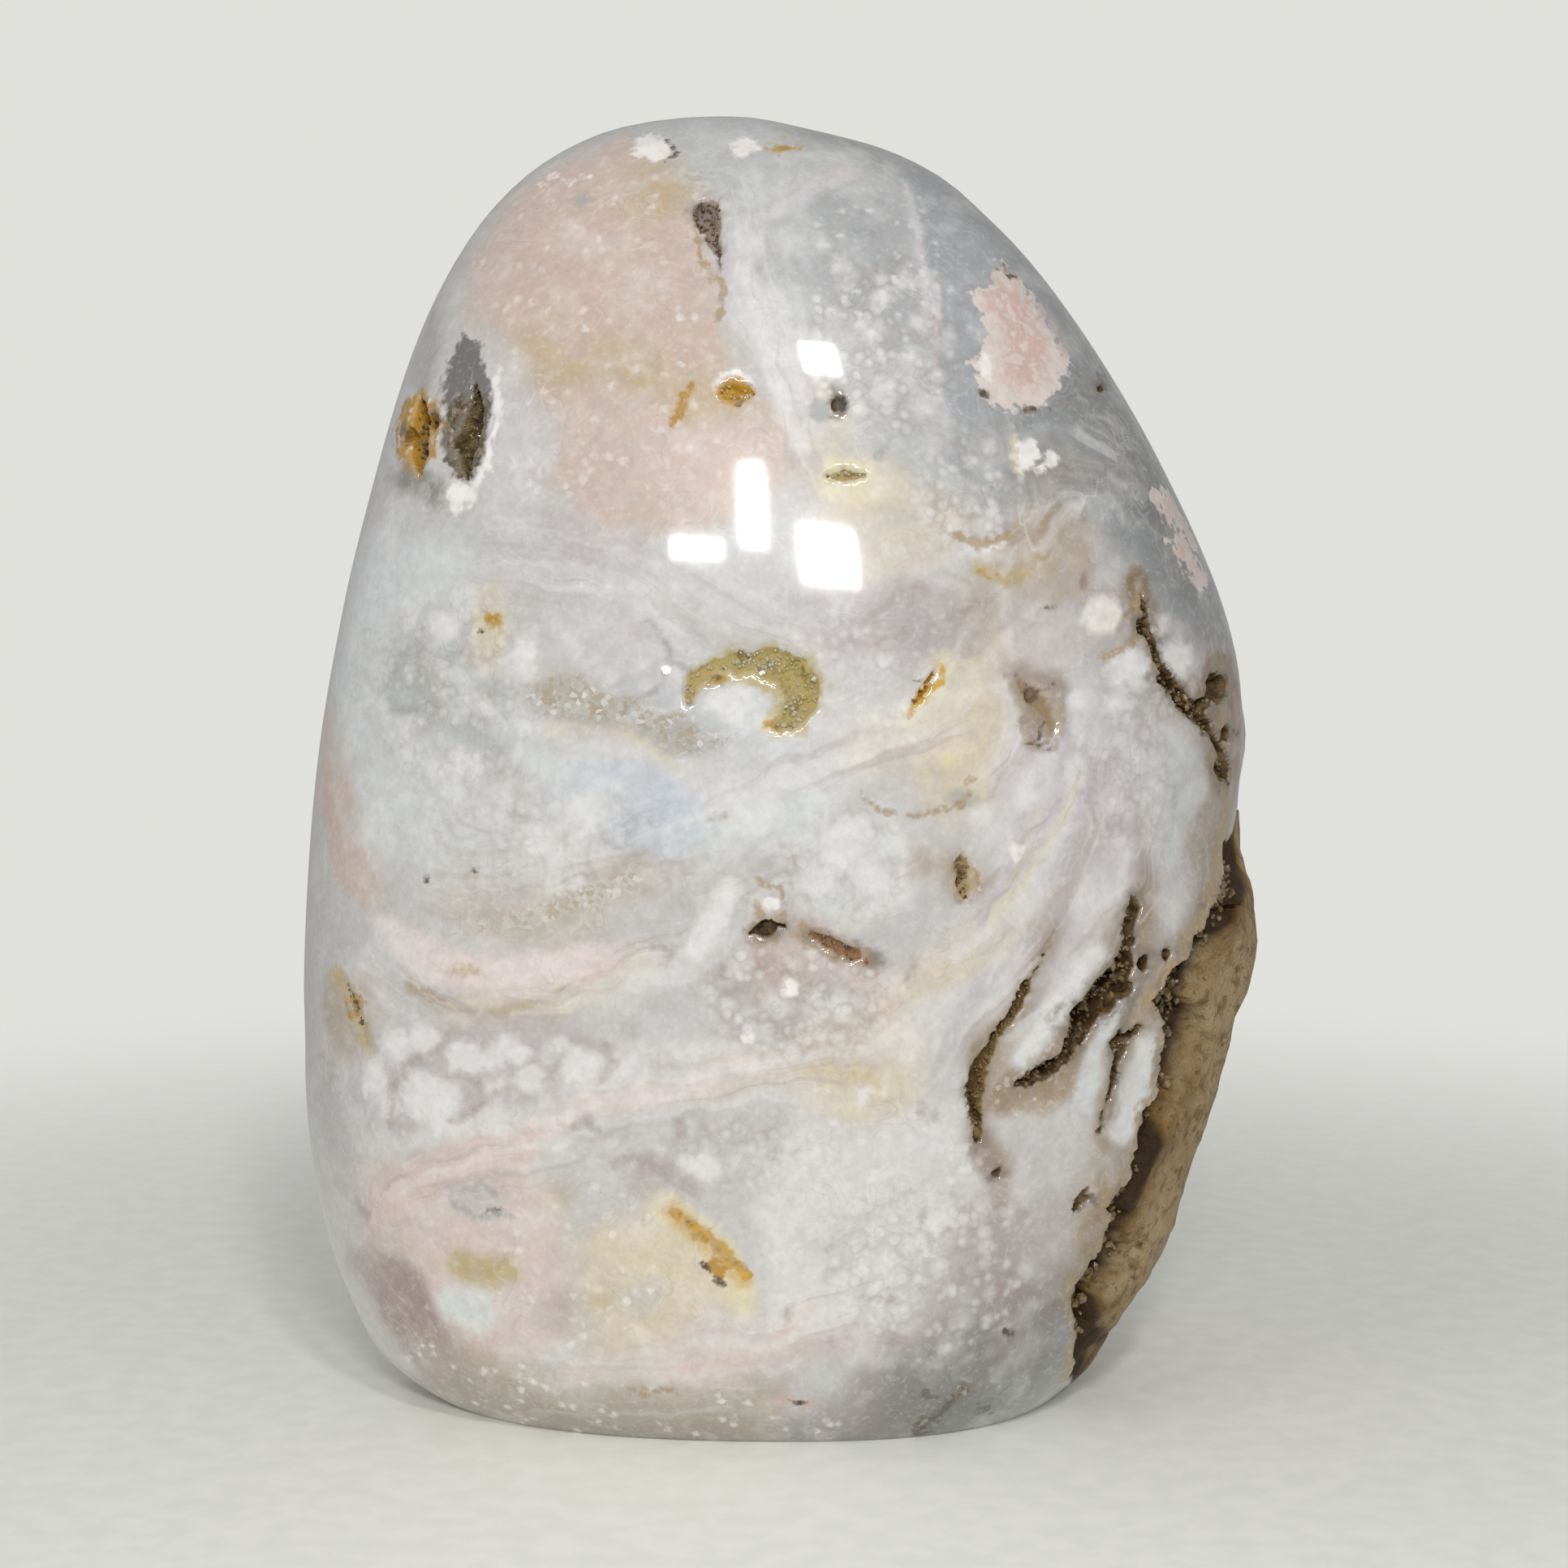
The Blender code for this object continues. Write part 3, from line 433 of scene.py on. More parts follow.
    ("granular_grey", 0.8, 12, PATCH, ((649, 857), (674, 831), (709, 831), (743, 853), (786, 857),
        (829, 874), (871, 900), (897, 913), (893, 919), (820, 926), (786, 896), (657, 879))),
    ("grey", 0.6, 9, BAND, ((657, 881), (700, 884), (786, 898), (820, 928), (893, 921)), 7),
    ("cream", 0.7, 10, BAND, ((674, 902), (720, 894), (764, 898), (846, 951)), 9),
    ("cool_white", 0.95, 14, SPOT, (906, 874, 40, 36, 0)),
    ("blue", 0.8, 30, PATCH, ((734, 990), (790, 966), (850, 976), (872, 1020), (830, 1062),
        (760, 1050))),
    ("white", 0.7, 30, PATCH, ((640, 1060), (690, 1028), (732, 1050), (726, 1104), (660, 1110))),
    ("sand", 0.75, 20, PATCH, ((584, 1120), (650, 1112), (743, 1108), (736, 1150), (670, 1166),
        (600, 1150))),
    ("pale_pink", 0.95, 16, PATCH, ((464, 1138), (500, 1162), (560, 1186), (640, 1190), (700, 1172),
        (770, 1160), (764, 1196), (660, 1226), (560, 1222), (500, 1190))),
    ("tan", 0.7, 10, BAND, ((510, 1214), (548, 1240), (590, 1250), (650, 1238), (720, 1212)), 10),
    ("pink_tan", 0.85, 22, BAND, ((402, 890), (412, 960), (430, 1040), (450, 1090)), 36),
    ("white", 0.95, 14, BAND, ((898, 1100), (880, 1132), (858, 1168)), 26),
    ("pink_tan", 0.55, 24, PATCH, ((927, 1100), (980, 1130), (1010, 1200), (960, 1230),
        (900, 1190))),
    ("cool_white", 0.6, 50, PATCH, ((400, 660), (470, 650), (500, 740), (470, 900), (410, 940))),
    # The lower left.
    ("cream", 0.5, 12, SPOT, (656, 1333, 24, 22, 0)),
    ("white", 0.8, 10, SPOT, (872, 1438, 15, 15, 0)),
    ("mauve", 0.55, 10, BAND, ((548, 1276), (554, 1296), (546, 1312)), 9),
    ("grey", 0.6, 10, BAND, ((553, 1328), (584, 1334), (600, 1352), (574, 1376)), 9),
    ("mauve", 0.5, 10, SPOT, (751, 1312, 9, 12, 0)),
    ("purple", 0.7, 14, SPOT, (818, 1316, 18, 12, 0)),
    ("purple", 0.6, 12, SPOT, (726, 1382, 12, 8, 0)),
    ("grey", 0.5, 14, SPOT, (900, 1322, 16, 10, 0)),
    ("mauve", 0.55, 16, PATCH, ((760, 1424), (800, 1418), (850, 1450), (866, 1480), (820, 1484),
        (770, 1470))),
    ("cool_white", 0.9, 22, SPOT, (583, 1606, 32, 26, 0)),
    ("mauve", 0.55, 22, BAND, ((478, 1560), (510, 1600), (546, 1640)), 34),
    ("yellow", 0.75, 18, BAND, ((816, 1480), (860, 1524), (900, 1572), (920, 1590)), 34),
    ("cream", 0.7, 30, PATCH, ((740, 1640), (760, 1560), (830, 1500), (880, 1560), (896, 1610),
        (840, 1640), (780, 1670))),
    ("pale_grey", 0.5, 24, SPOT, (790, 1600, 34, 26, 0)),
    ("gold", 0.6, 11, BAND, ((824, 1490), (860, 1522), (896, 1554), (914, 1576)), 24),
    # The top and the upper right.
    ("pink_tan", 0.8, 16, PATCH, ((640, 240), (760, 190), (840, 240), (866, 290), (884, 330),
        (884, 400), (878, 446), (820, 470), (700, 440), (620, 380))),
    ("grey", 0.6, 30, PATCH, ((930, 240), (1010, 220), (1110, 250), (1130, 330), (1140, 420),
        (1090, 440), (1020, 360), (950, 320))),
    ("white", 0.8, 16, BAND, ((918, 330), (941, 396), (960, 446), (968, 500), (986, 548)), 20),
    ("lavender", 0.9, 12, BAND, ((957, 262), (1000, 232), (1048, 212)), 16),
    ("lavender", 0.9, 9, BAND, ((1125, 262), (1137, 328), (1156, 383), (1150, 420), (1162, 475),
        (1168, 518)), 8),
    ("blue_grey", 0.8, 12, PATCH, ((1130, 250), (1210, 280), (1240, 330), (1200, 350), (1210, 400),
        (1200, 450), (1230, 510), (1190, 540), (1166, 500), (1156, 430), (1164, 384), (1144, 330))),
    # Grey along the upper right edge, darkened partly as painted shade.
    ("edge_grey", 0.6, 40, BAND, ((1330, 480), (1400, 580), (1460, 700)), 60),
    ("olive", 0.5, 26, SPOT, (806, 242, 36, 28, 0)),
    ("olive", 0.45, 34, SPOT, (763, 445, 50, 34, 0)),
    ("white", 0.85, 8, BAND, ((884, 470), (900, 460), (920, 464), (930, 476)), 6),
    ("yellow", 0.7, 18, SPOT, (1040, 590, 44, 22, 10)),
    ("olive", 0.5, 20, SPOT, (870, 500, 60, 24, 0)),
    ("grey", 0.7, 10, BAND, ((1174, 568), (1200, 572), (1230, 600), (1240, 640), (1226, 652)), 7),
    ("grey_green", 0.6, 16, PATCH, ((1176, 570), (1210, 574), (1236, 606), (1230, 644), (1196, 640),
        (1178, 606))),
    ("white", 0.6, 8, BAND, ((1322, 629), (1340, 606), (1366, 590), (1390, 600)), 6),
    ("white", 0.5, 8, BAND, ((1358, 641), (1372, 620), (1384, 640)), 6),
    ("tan", 0.55, 22, PATCH, ((1240, 640), (1300, 610), (1360, 640), (1340, 720), (1270, 740),
        (1220, 700))),
    ("dark_grey", 0.6, 14, BAND, ((1334, 600), (1390, 584), (1424, 640)), 16),
    ("purple", 0.6, 10, BAND, ((1276, 372), (1300, 402), (1314, 434)), 8),
    ("grey", 0.7, 8, SPOT, (1352, 457, 8, 13, -20)),
    # Stains round the hollows, and the pale lobes between them.
    ("stain", 0.75, 30, PATCH, ((1380, 1080), (1420, 1080), (1436, 1200), (1400, 1290),
        (1330, 1340), (1240, 1376), (1214, 1340), (1290, 1296), (1306, 1240), (1350, 1190))),
    ("stain", 0.7, 24, BAND, ((1294, 1150), (1280, 1200), (1250, 1256), (1216, 1310), (1206, 1390),
        (1226, 1450)), 40),
    ("stain", 0.6, 24, BAND, ((1420, 1250), (1392, 1288), (1374, 1340), (1364, 1410)), 34),
    ("stain", 0.75, 26, PATCH, ((1390, 716), (1416, 730), (1450, 830), (1490, 850), (1530, 800),
        (1536, 1010), (1500, 960), (1460, 890), (1420, 850), (1400, 800))),
    ("stain", 0.6, 30, BAND, ((1500, 1000), (1490, 1110), (1456, 1176)), 44),
    ("stain", 0.65, 26, BAND, ((1410, 1400), (1372, 1466), (1346, 1530), (1316, 1606)), 40),
    ("stain", 0.6, 24, PATCH, ((1236, 820), (1320, 820), (1320, 880), (1290, 930), (1256, 920))),
    ("stain", 0.5, 20, PATCH, ((1176, 1050), (1200, 1060), (1216, 1110), (1184, 1110))),
    ("stain", 0.5, 20, BAND, ((926, 1140), (990, 1142), (1036, 1168), (1080, 1186)), 30),
    ("cool_white", 0.9, 12, SPOT, (1395, 833, 26, 25, 0)),
    ("white", 0.8, 10, SPOT, (1451, 810, 21, 20, 0)),
    ("white", 0.9, 16, BAND, PALE_LOBE, 30),
    ("cool_white", 0.8, 12, BAND, ((1412, 1290), (1404, 1340), (1390, 1390)), 20),
    ("cool_white", 0.8, 12, BAND, ((1376, 1240), (1350, 1300), (1334, 1360)), 22),
    # Painted shade along the lower edge again.
    ("edge_grey", 0.6, 60, PATCH, ((1100, 1660), (1220, 1600), (1330, 1560), (1340, 1680),
        (1220, 1760), (1040, 1800))),
    ("edge_grey", 0.4, 30, BAND, ((520, 1716), (700, 1772), (900, 1790), (1040, 1796)), 50),
    # Bands, tints and spots, mostly on the right.
    ("lavender", 0.8, 22, PATCH, ((1345, 925), (1384, 940), (1396, 1010), (1390, 1090),
        (1350, 1150), (1290, 1230), (1276, 1210), (1330, 1130), (1350, 1050), (1340, 980))),
    ("white", 0.7, 12, BAND, ((1325, 945), (1316, 999), (1290, 1066), (1240, 1130), (1180, 1176)),
        12),
    ("yellow", 0.6, 12, BAND, ((1332, 960), (1300, 1030), (1262, 1090), (1220, 1140)), 10),
    ("purple", 0.55, 12, BAND, ((1352, 930), (1344, 1010), (1316, 1090), (1262, 1160)), 9),
    ("white", 0.65, 12, BAND, ((1392, 1020), (1386, 1090), (1350, 1160), (1296, 1230)), 9),
    ("cool_white", 0.8, 26, PATCH, ((1440, 890), (1480, 920), (1480, 1000), (1450, 1060),
        (1424, 1040), (1420, 960))),
    ("granular_grey", 0.6, 18, SPOT, (1387, 880, 20, 34, 0)),
    ("white", 0.9, 20, SPOT, (1043, 1072, 66, 44, -30)),
    ("white", 0.8, 10, SPOT, (1209, 1003, 15, 14, 0)),
    ("white", 0.8, 10, SPOT, (1267, 987, 15, 14, 0)),
    ("white", 0.8, 8, SPOT, (1333, 862, 13, 13, 0)),
    ("lavender", 0.9, 7, SPOT, (1298, 858, 12, 12, 0)),
    ("granular_grey", 0.8, 10, SPOT, (1186, 984, 20, 12, 0)),
    ("purple", 0.7, 30, PATCH, ((1062, 740), (1120, 712), (1180, 730), (1200, 770), (1130, 800),
        (1070, 780))),
    ("mauve", 0.6, 10, BAND, ((1112, 730), (1130, 722), (1140, 734)), 7),
    ("mauve", 0.6, 10, BAND, ((1188, 756), (1206, 748), (1216, 740)), 8),
    ("dark_grey", 0.6, 7, SPOT, (1296, 749, 6, 5, 0)),
    ("brown", 0.7, 7, SPOT, (1335, 715, 4, 9, 10)),
    ("cream", 0.9, 26, PATCH, ((1150, 860), (1200, 850), (1240, 880), (1230, 930), (1196, 950),
        (1150, 940), (1130, 900))),
    ("olive", 0.6, 18, SPOT, (1208, 884, 28, 18, 0)),
    ("cream", 0.4, 22, SPOT, (1196, 900, 40, 30, 0)),
    ("yellow", 0.8, 16, BAND, ((1160, 812), (1164, 840), (1138, 866), (1116, 892)), 24),
    ("pebble", 0.95, 6, SPOT, (1360, 755, 24, 26, 0)),
    ("mauve", 0.6, 6, BAND, ((1384, 742), (1389, 758), (1382, 776)), 7),
    ("purple", 0.75, 26, PATCH, ((440, 1262), (640, 1258), (760, 1286), (760, 1330), (640, 1366),
        (520, 1410), (440, 1392))),
    # Brown along the upper fissure.
    ("moss_brown", 0.75, 10, BAND, ((1403, 712), (1408, 760), (1424, 790), (1432, 830)), 24),
    ("moss_brown", 0.65, 12, BAND, ((1370, 806), (1386, 796), (1402, 784)), 8),
    ("moss_brown", 0.65, 12, BAND, ((1450, 862), (1475, 876), (1492, 892)), 16),
    ("moss_brown", 0.6, 14, SPOT, (1506, 868, 16, 40, 0)),
    ("moss_brown", 0.7, 12, BAND, ((1508, 940), (1510, 972)), 16),
    # Umber in the upper fissure's deep holes, partly painted shade.
    ("umber", 0.8, 8, SPOT, (1503, 846, 14, 24, 0)),
    ("umber", 0.7, 6, SPOT, (1430, 795, 7, 9, 20)),
    ("umber", 0.8, 6, BAND, ((1434, 838), (1450, 846), (1464, 856)), 10),
    ("edge_grey", 0.8, 6, BAND, ((1440, 784), (1460, 794), (1476, 786)), 5),
    ("red_brown", 0.8, 7, BAND, ((1386, 757), (1395, 747)), 6),
    ("red_brown", 0.7, 6, SPOT, (1336, 714, 5, 8, 20)),
    # Last touches, here and there.
    # Painted shade at the lower right of the base.
    ("edge_grey", 0.5, 44, SPOT, (1180, 1692, 90, 54, -20)),
    ("mauve", 0.6, 22, SPOT, (510, 1612, 34, 46, -30)),
    # Grey and painted shade along the upper right edge.
    ("edge_grey", 0.4, 30, BAND, ((1390, 545), (1440, 640), (1486, 770)), 36),
    ("blue_grey", 0.5, 24, SPOT, (1200, 545, 36, 32, 0)),
    ("olive", 0.55, 26, SPOT, (1040, 1318, 34, 24, 0)),
    ("cream", 0.6, 30, SPOT, (1060, 1340, 70, 40, 0)),
    ("mauve", 0.35, 30, BAND, ((1216, 1500), (1200, 1560), (1240, 1610)), 60),
    ("mauve", 0.5, 16, BAND, ((1214, 1420), (1226, 1460), (1226, 1500)), 20),
    ("pale_grey", 0.5, 16, BAND, PALE_LOBE, 36),
    ("red_brown", 0.25, 24, SPOT, (500, 1606, 36, 50, -30)),
    ("pale_grey", 0.45, 30, PATCH, ((1330, 800), (1480, 830), (1490, 980), (1440, 1060),
        (1400, 1000), (1340, 900))),
    ("pale_grey", 0.5, 12, SPOT, (1392, 826, 36, 34, 0)),
    ("pale_grey", 0.5, 12, SPOT, (1450, 811, 28, 26, 0)),
    ("pale_grey", 0.5, 30, SPOT, (905, 878, 44, 36, 0)),
    ("pale_grey", 0.5, 30, SPOT, (1043, 1062, 70, 54, -30)),
    ("moss_brown", 0.8, 10, PATCH, ((1478, 868), (1492, 800), (1518, 806), (1530, 850), (1524, 884),
        (1500, 886))),
    # Umber in the deep hole, partly painted shade.
    ("umber", 0.8, 8, PATCH, ((1490, 862), (1498, 812), (1514, 830), (1520, 866), (1504, 874))),
    ("umber", 0.8, 4, BAND, ((1484, 906), (1506, 900), (1528, 903)), 4),
    ("moss_brown", 0.75, 10, SPOT, (1506, 950, 13, 30, 0)),
    ("moss_brown", 0.7, 10, BAND, ((1426, 812), (1444, 840), (1470, 862), (1486, 884)), 26),
    ("stain", 0.6, 16, BAND, ((1350, 1190), (1384, 1190), (1400, 1150)), 20),
    ("mauve", 0.5, 24, SPOT, (496, 1600, 36, 56, -30)),
    ("olive", 0.9, 18, BAND, ((572, 1556), (598, 1564), (626, 1562)), 34),
    # Grey and painted shade on the upper right.
    ("edge_grey", 0.35, 30, SPOT, (1400, 560, 40, 50, 0)),
    ("edge_grey", 0.3, 24, SPOT, (1200, 545, 34, 30, 0)),
    ("mauve", 0.4, 30, BAND, ((520, 1700), (640, 1722), (800, 1745)), 40),
    ("base_tan", 0.7, 40, PATCH, ((520, 1640), (700, 1690), (860, 1706), (960, 1680), (960, 1780),
        (700, 1780), (520, 1720))),
)

# The front lip of the side fissure, from its top down. The rough rim lies to its right.
LIP = ((1518, 985), (1512, 1028), (1511, 1076), (1493, 1125), (1468, 1176), (1437, 1207),
       (1422, 1234), (1437, 1260), (1434, 1287), (1425, 1349), (1410, 1390), (1397, 1443),
       (1379, 1473), (1362, 1488), (1369, 1505), (1352, 1547), (1337, 1574), (1317, 1596),
       (1328, 1615), (1331, 1641), (1318, 1700), (1310, 1760))

# Marks with a clear edge, in the order they are painted. Each group has a tone, a strength, how
# wide its edge is and how far it wavers, in pixels, and its shapes.
MARKS = {
    "dark_patch": ("dark_grey", 0.92, 4, 9, (
        (PATCH, ((573, 412), (594, 424), (592, 450), (606, 480), (604, 510), (600, 540), (590, 586),
            (574, 600), (550, 570), (546, 522), (546, 468), (560, 432))),
        (BAND, ((1132, 1762), (1160, 1740), (1188, 1712)), 13), (SPOT, (1140, 1720, 12, 5, 0)),
        (SPOT, (1214, 1737, 8, 4, 0)), (SPOT, (613, 1493, 7, 4, 0)),
        (SPOT, (1357, 466, 6, 12, -20)))),
    "olive_patch": ("olive_dark", 0.9, 5, 9, (
        (PATCH, ((552, 500), (604, 486), (602, 540), (590, 586), (573, 600), (550, 570))),)),
    "amber_pit": ("ochre", 0.9, 4, 8, (
        (SPOT, (516, 530, 27, 47, 12)),)),
    "moss_marks": ("moss", 0.85, 6, 9, (
        (PATCH, ((852, 858), (868, 828), (908, 801), (936, 811), (984, 812), (1003, 855),
            (996, 898), (953, 908), (944, 882), (958, 862), (930, 846), (884, 842))),)),
    "olive_marks": ("olive", 0.85, 7, 9, (
        (BAND, ((414, 1198), (432, 1232), (456, 1292)), 15), (SPOT, (968, 181, 20, 6, 0)),
        (SPOT, (606, 766, 13, 11, 0)), (SPOT, (568, 1195, 12, 5, 0)),
        (BAND, ((1204, 704), (1240, 714), (1268, 706)), 10))),
    "flower_edge": ("flower_rim", 0.92, 3, 12, (
        (PATCH, ((1228, 323), (1250, 338), (1276, 366), (1302, 412), (1320, 448), (1302, 476),
            (1280, 507), (1236, 502), (1208, 484), (1196, 446), (1216, 422), (1210, 388),
            (1192, 362), (1224, 348))),
        (BAND, ((1430, 612), (1450, 636), (1474, 668)), 22),
        (BAND, ((1450, 668), (1466, 692), (1480, 716)), 18))),
    "flower": ("flower_pink", 0.72, 12, 16, (
        (PATCH, ((1232, 344), (1256, 358), (1278, 396), (1296, 436), (1280, 474), (1252, 482),
            (1232, 458), (1240, 420), (1230, 392), (1212, 368))),
        (BAND, ((1436, 618), (1452, 640), (1470, 664)), 10),
        (BAND, ((1454, 674), (1466, 692), (1476, 710)), 9), (SPOT, (975, 1727, 22, 9, 0)),
        (BAND, ((398, 944), (404, 976), (410, 1010)), 7))),
    "flower_streaks": ("flower_rim", 0.75, 3, 14, (
        (BAND, ((1264, 420), (1290, 398)), 3), (BAND, ((1262, 432), (1298, 450)), 3),
        (BAND, ((1258, 440), (1250, 482)), 3), (BAND, ((1250, 426), (1218, 444)), 3),
        (BAND, ((1256, 408), (1238, 366)), 3), (BAND, ((1264, 412), (1276, 376)), 3),
        (BAND, ((1266, 442), (1286, 482)), 3), (BAND, ((1246, 436), (1226, 470)), 3))),
    "pale_yellow": ("yellow", 0.8, 7, 8, (
        (SPOT, (1043, 584, 30, 14, 10)), (SPOT, (960, 894, 22, 14, 0)),
        (BAND, ((1250, 544), (1249, 566), (1256, 584)), 6), (SPOT, (1174, 937, 9, 8, 0)))),
    "orb_marks": ("white", 0.85, 12, 7, (
        (SPOT, (545, 774, 16, 16, 0)), (SPOT, (644, 813, 14, 21, 0)), (SPOT, (905, 868, 30, 27, 0)),
        (SPOT, (489, 1290, 20, 20, 0)), (SPOT, (522, 1284, 17, 17, 0)),
        (SPOT, (460, 1324, 15, 24, 0)), (SPOT, (529, 1356, 29, 27, 0)),
        (SPOT, (568, 1306, 22, 22, 0)), (SPOT, (717, 1317, 22, 21, 0)),
        (SPOT, (625, 1290, 16, 15, 0)), (SPOT, (610, 1378, 17, 15, 0)),
        (SPOT, (1153, 1508, 18, 18, 0)), (SPOT, (1392, 820, 24, 22, 0)),
        (SPOT, (1449, 814, 20, 20, 0)), (SPOT, (1060, 1352, 12, 12, 0)),
        (SPOT, (870, 1440, 15, 15, 0)), (SPOT, (1430, 770, 12, 12, 0)),
        (SPOT, (1380, 868, 16, 14, 0)), (SPOT, (1074, 412, 13, 11, 0)),
        (SPOT, (1034, 327, 9, 8, 0)), (SPOT, (1089, 366, 9, 8, 0)), (SPOT, (1062, 400, 10, 9, 0)),
        (SPOT, (1110, 350, 7, 7, 0)), (SPOT, (1128, 396, 7, 7, 0)), (SPOT, (1010, 300, 8, 7, 0)),
        (SPOT, (1120, 440, 8, 8, 0)), (SPOT, (1140, 500, 8, 8, 0)),
        (BAND, ((897, 1100), (880, 1130), (858, 1168)), 28), (SPOT, (720, 1000, 30, 22, 0)),
        (SPOT, (1040, 1040, 34, 26, 0)), (SPOT, (1070, 1080, 26, 22, 0)),
        (SPOT, (1012, 1082, 22, 18, 0)), (SPOT, (930, 1010, 24, 14, -20)),
        (BAND, ((1420, 1290), (1396, 1350), (1382, 1400)), 22))),
    "lobes": ("white", 0.8, 6, 4, (
        (SPOT, (489, 1284, 19, 17, 0)), (SPOT, (522, 1279, 17, 17, 0)),
        (SPOT, (533, 1352, 36, 27, -10)), (SPOT, (512, 1332, 20, 16, 0)),
        (SPOT, (572, 1307, 22, 20, 0)), (SPOT, (713, 1313, 22, 19, 0)),
        (SPOT, (463, 1330, 13, 24, 10)), (SPOT, (480, 1362, 14, 18, 0)),
        (SPOT, (606, 1304, 17, 15, 0)), (SPOT, (656, 1330, 20, 18, 0)),
        (SPOT, (556, 1386, 26, 14, -10)), (SPOT, (640, 1298, 16, 13, 0)),
        (SPOT, (690, 1290, 14, 11, 0)), (SPOT, (610, 1342, 14, 12, 0)),
        (BAND, PALE_LOBE, 20),
        (BAND, ((898, 1102), (880, 1132), (860, 1166)), 20))),
    "white_marks": ("spot_white", 0.92, 4, 7, (
        (SPOT, (805, 182, 24, 15, 0)), (SPOT, (918, 182, 16, 11, 0)), (SPOT, (682, 215, 5, 4, 0)),
        (SPOT, (698, 222, 4, 4, 0)), (SPOT, (669, 224, 4, 5, 0)), (SPOT, (720, 218, 5, 3, 0)),
        (SPOT, (680, 251, 4, 4, 0)), (SPOT, (1265, 560, 14, 19, 10)), (SPOT, (1299, 564, 9, 9, 0)),
        (SPOT, (1214, 452, 10, 14, 0)), (BAND, ((614, 460), (611, 520), (600, 572), (580, 612)), 8),
        (SPOT, (567, 610, 13, 20, 0)), (BAND, ((883, 478), (890, 464), (906, 459), (922, 466)), 6),
        (SPOT, (1252, 1050, 9, 9, 0)), (SPOT, (950, 1115, 10, 10, 0)),
        (SPOT, (975, 1216, 11, 11, 0)), (SPOT, (920, 1280, 7, 7, 0)),
        (BAND, ((1196, 668), (1216, 676), (1236, 668)), 6), (SPOT, (1284, 578, 8, 5, 0)))),
    "grey_marks": ("grey", 0.75, 6, 7, (
        (SPOT, (1108, 431, 7, 5, 0)), (SPOT, (1149, 469, 8, 5, 30)), (SPOT, (1057, 286, 9, 7, 0)),
        (BAND, ((1064, 262), (1054, 280), (1076, 290)), 6),
        (BAND, ((1088, 300), (1100, 318), (1092, 336), (1078, 326)), 5),
        (SPOT, (1008, 505, 12, 11, 0)), (SPOT, (1087, 555, 9, 7, 0)), (SPOT, (717, 247, 12, 7, 0)),
        (BAND, ((1170, 561), (1206, 590), (1242, 611), (1240, 657)), 8),
        (BAND, ((830, 818), (856, 830), (846, 850)), 8),
        (BAND, ((800, 770), (830, 800), (812, 850), (770, 872)), 5),
        (BAND, ((552, 1472), (566, 1492), (600, 1502), (630, 1496)), 7),
        (BAND, ((572, 1466), (596, 1460), (612, 1472)), 5))),
    "dusky_marks": ("mauve", 0.6, 8, 8, (
        (BAND, ((1276, 372), (1298, 404), (1314, 430)), 8),
        (BAND, ((1336, 706), (1341, 726), (1386, 734), (1389, 756)), 7),
        (BAND, ((502, 1312), (546, 1290), (551, 1324), (592, 1332)), 7),
        (BAND, ((560, 1380), (574, 1372), (600, 1351), (624, 1344)), 9),
        (BAND, ((482, 1384), (483, 1342), (502, 1322)), 7),
        (BAND, ((672, 1332), (686, 1316), (694, 1298)), 7),
        (BAND, ((738, 1332), (752, 1308), (745, 1288)), 6),
        (BAND, ((708, 1390), (725, 1384), (742, 1398)), 7),
        (BAND, ((757, 1434), (778, 1421), (806, 1434), (826, 1456)), 6),
        (BAND, ((1131, 1186), (1116, 1210)), 6), (BAND, ((808, 1164), (828, 1172), (822, 1186)), 6),
        (SPOT, (885, 1199, 13, 7, 0)), (SPOT, (900, 1222, 8, 6, 0)), (SPOT, (968, 1619, 6, 9, 0)),
        (SPOT, (1026, 1655, 5, 4, 0)), (SPOT, (1103, 1653, 8, 5, -20)),
        (SPOT, (1237, 1664, 6, 14, 10)), (SPOT, (836, 1392, 8, 14, 10)),
        (BAND, ((1136, 1362), (1142, 1384), (1156, 1372)), 6),
        (PATCH, ((1248, 832), (1312, 830), (1317, 850), (1288, 884), (1282, 914), (1302, 908),
            (1296, 924), (1268, 922), (1264, 880))),
        (BAND, ((1136, 1486), (1134, 1516), (1152, 1530), (1172, 1512)), 5),
        (BAND, ((1092, 1584), (1102, 1600), (1086, 1604)), 5),
        (BAND, ((940, 1194), (990, 1200), (1000, 1232), (960, 1238)), 5),
        (BAND, ((1196, 1420), (1214, 1446), (1230, 1480), (1222, 1500)), 7),
        (BAND, ((1068, 764), (1090, 746), (1112, 732)), 7), (BAND, ((1112, 750), (1130, 730)), 5),
        (BAND, ((1150, 772), (1180, 754), (1202, 742)), 6), (BAND, ((1080, 790), (1122, 778)), 5),
        (BAND, ((766, 1064), (790, 1050)), 4), (BAND, ((870, 1010), (892, 1006)), 4),
        (BAND, ((400, 1300), (408, 1330)), 6), (BAND, ((440, 1480), (450, 1500)), 8))),
    "tan_marks": ("tan", 0.8, 4, 9, (
        (BAND, ((1178, 658), (1206, 672), (1242, 662)), 9),
        (BAND, ((1062, 985), (1085, 1000), (1105, 1004), (1139, 1004), (1170, 996), (1189, 985),
            (1196, 962)), 5),
        (SPOT, (1190, 1084, 16, 24, 0)), (SPOT, (943, 1147, 24, 15, 0)),
        (BAND, ((990, 1150), (1036, 1172), (1068, 1182)), 22),
        (BAND, ((768, 1712), (801, 1717), (832, 1712)), 5),
        (BAND, ((852, 262), (868, 330), (886, 348), (891, 372), (884, 392)), 7),
        (BAND, ((930, 1085), (962, 1090), (966, 1130), (940, 1136), (928, 1110)), 6),
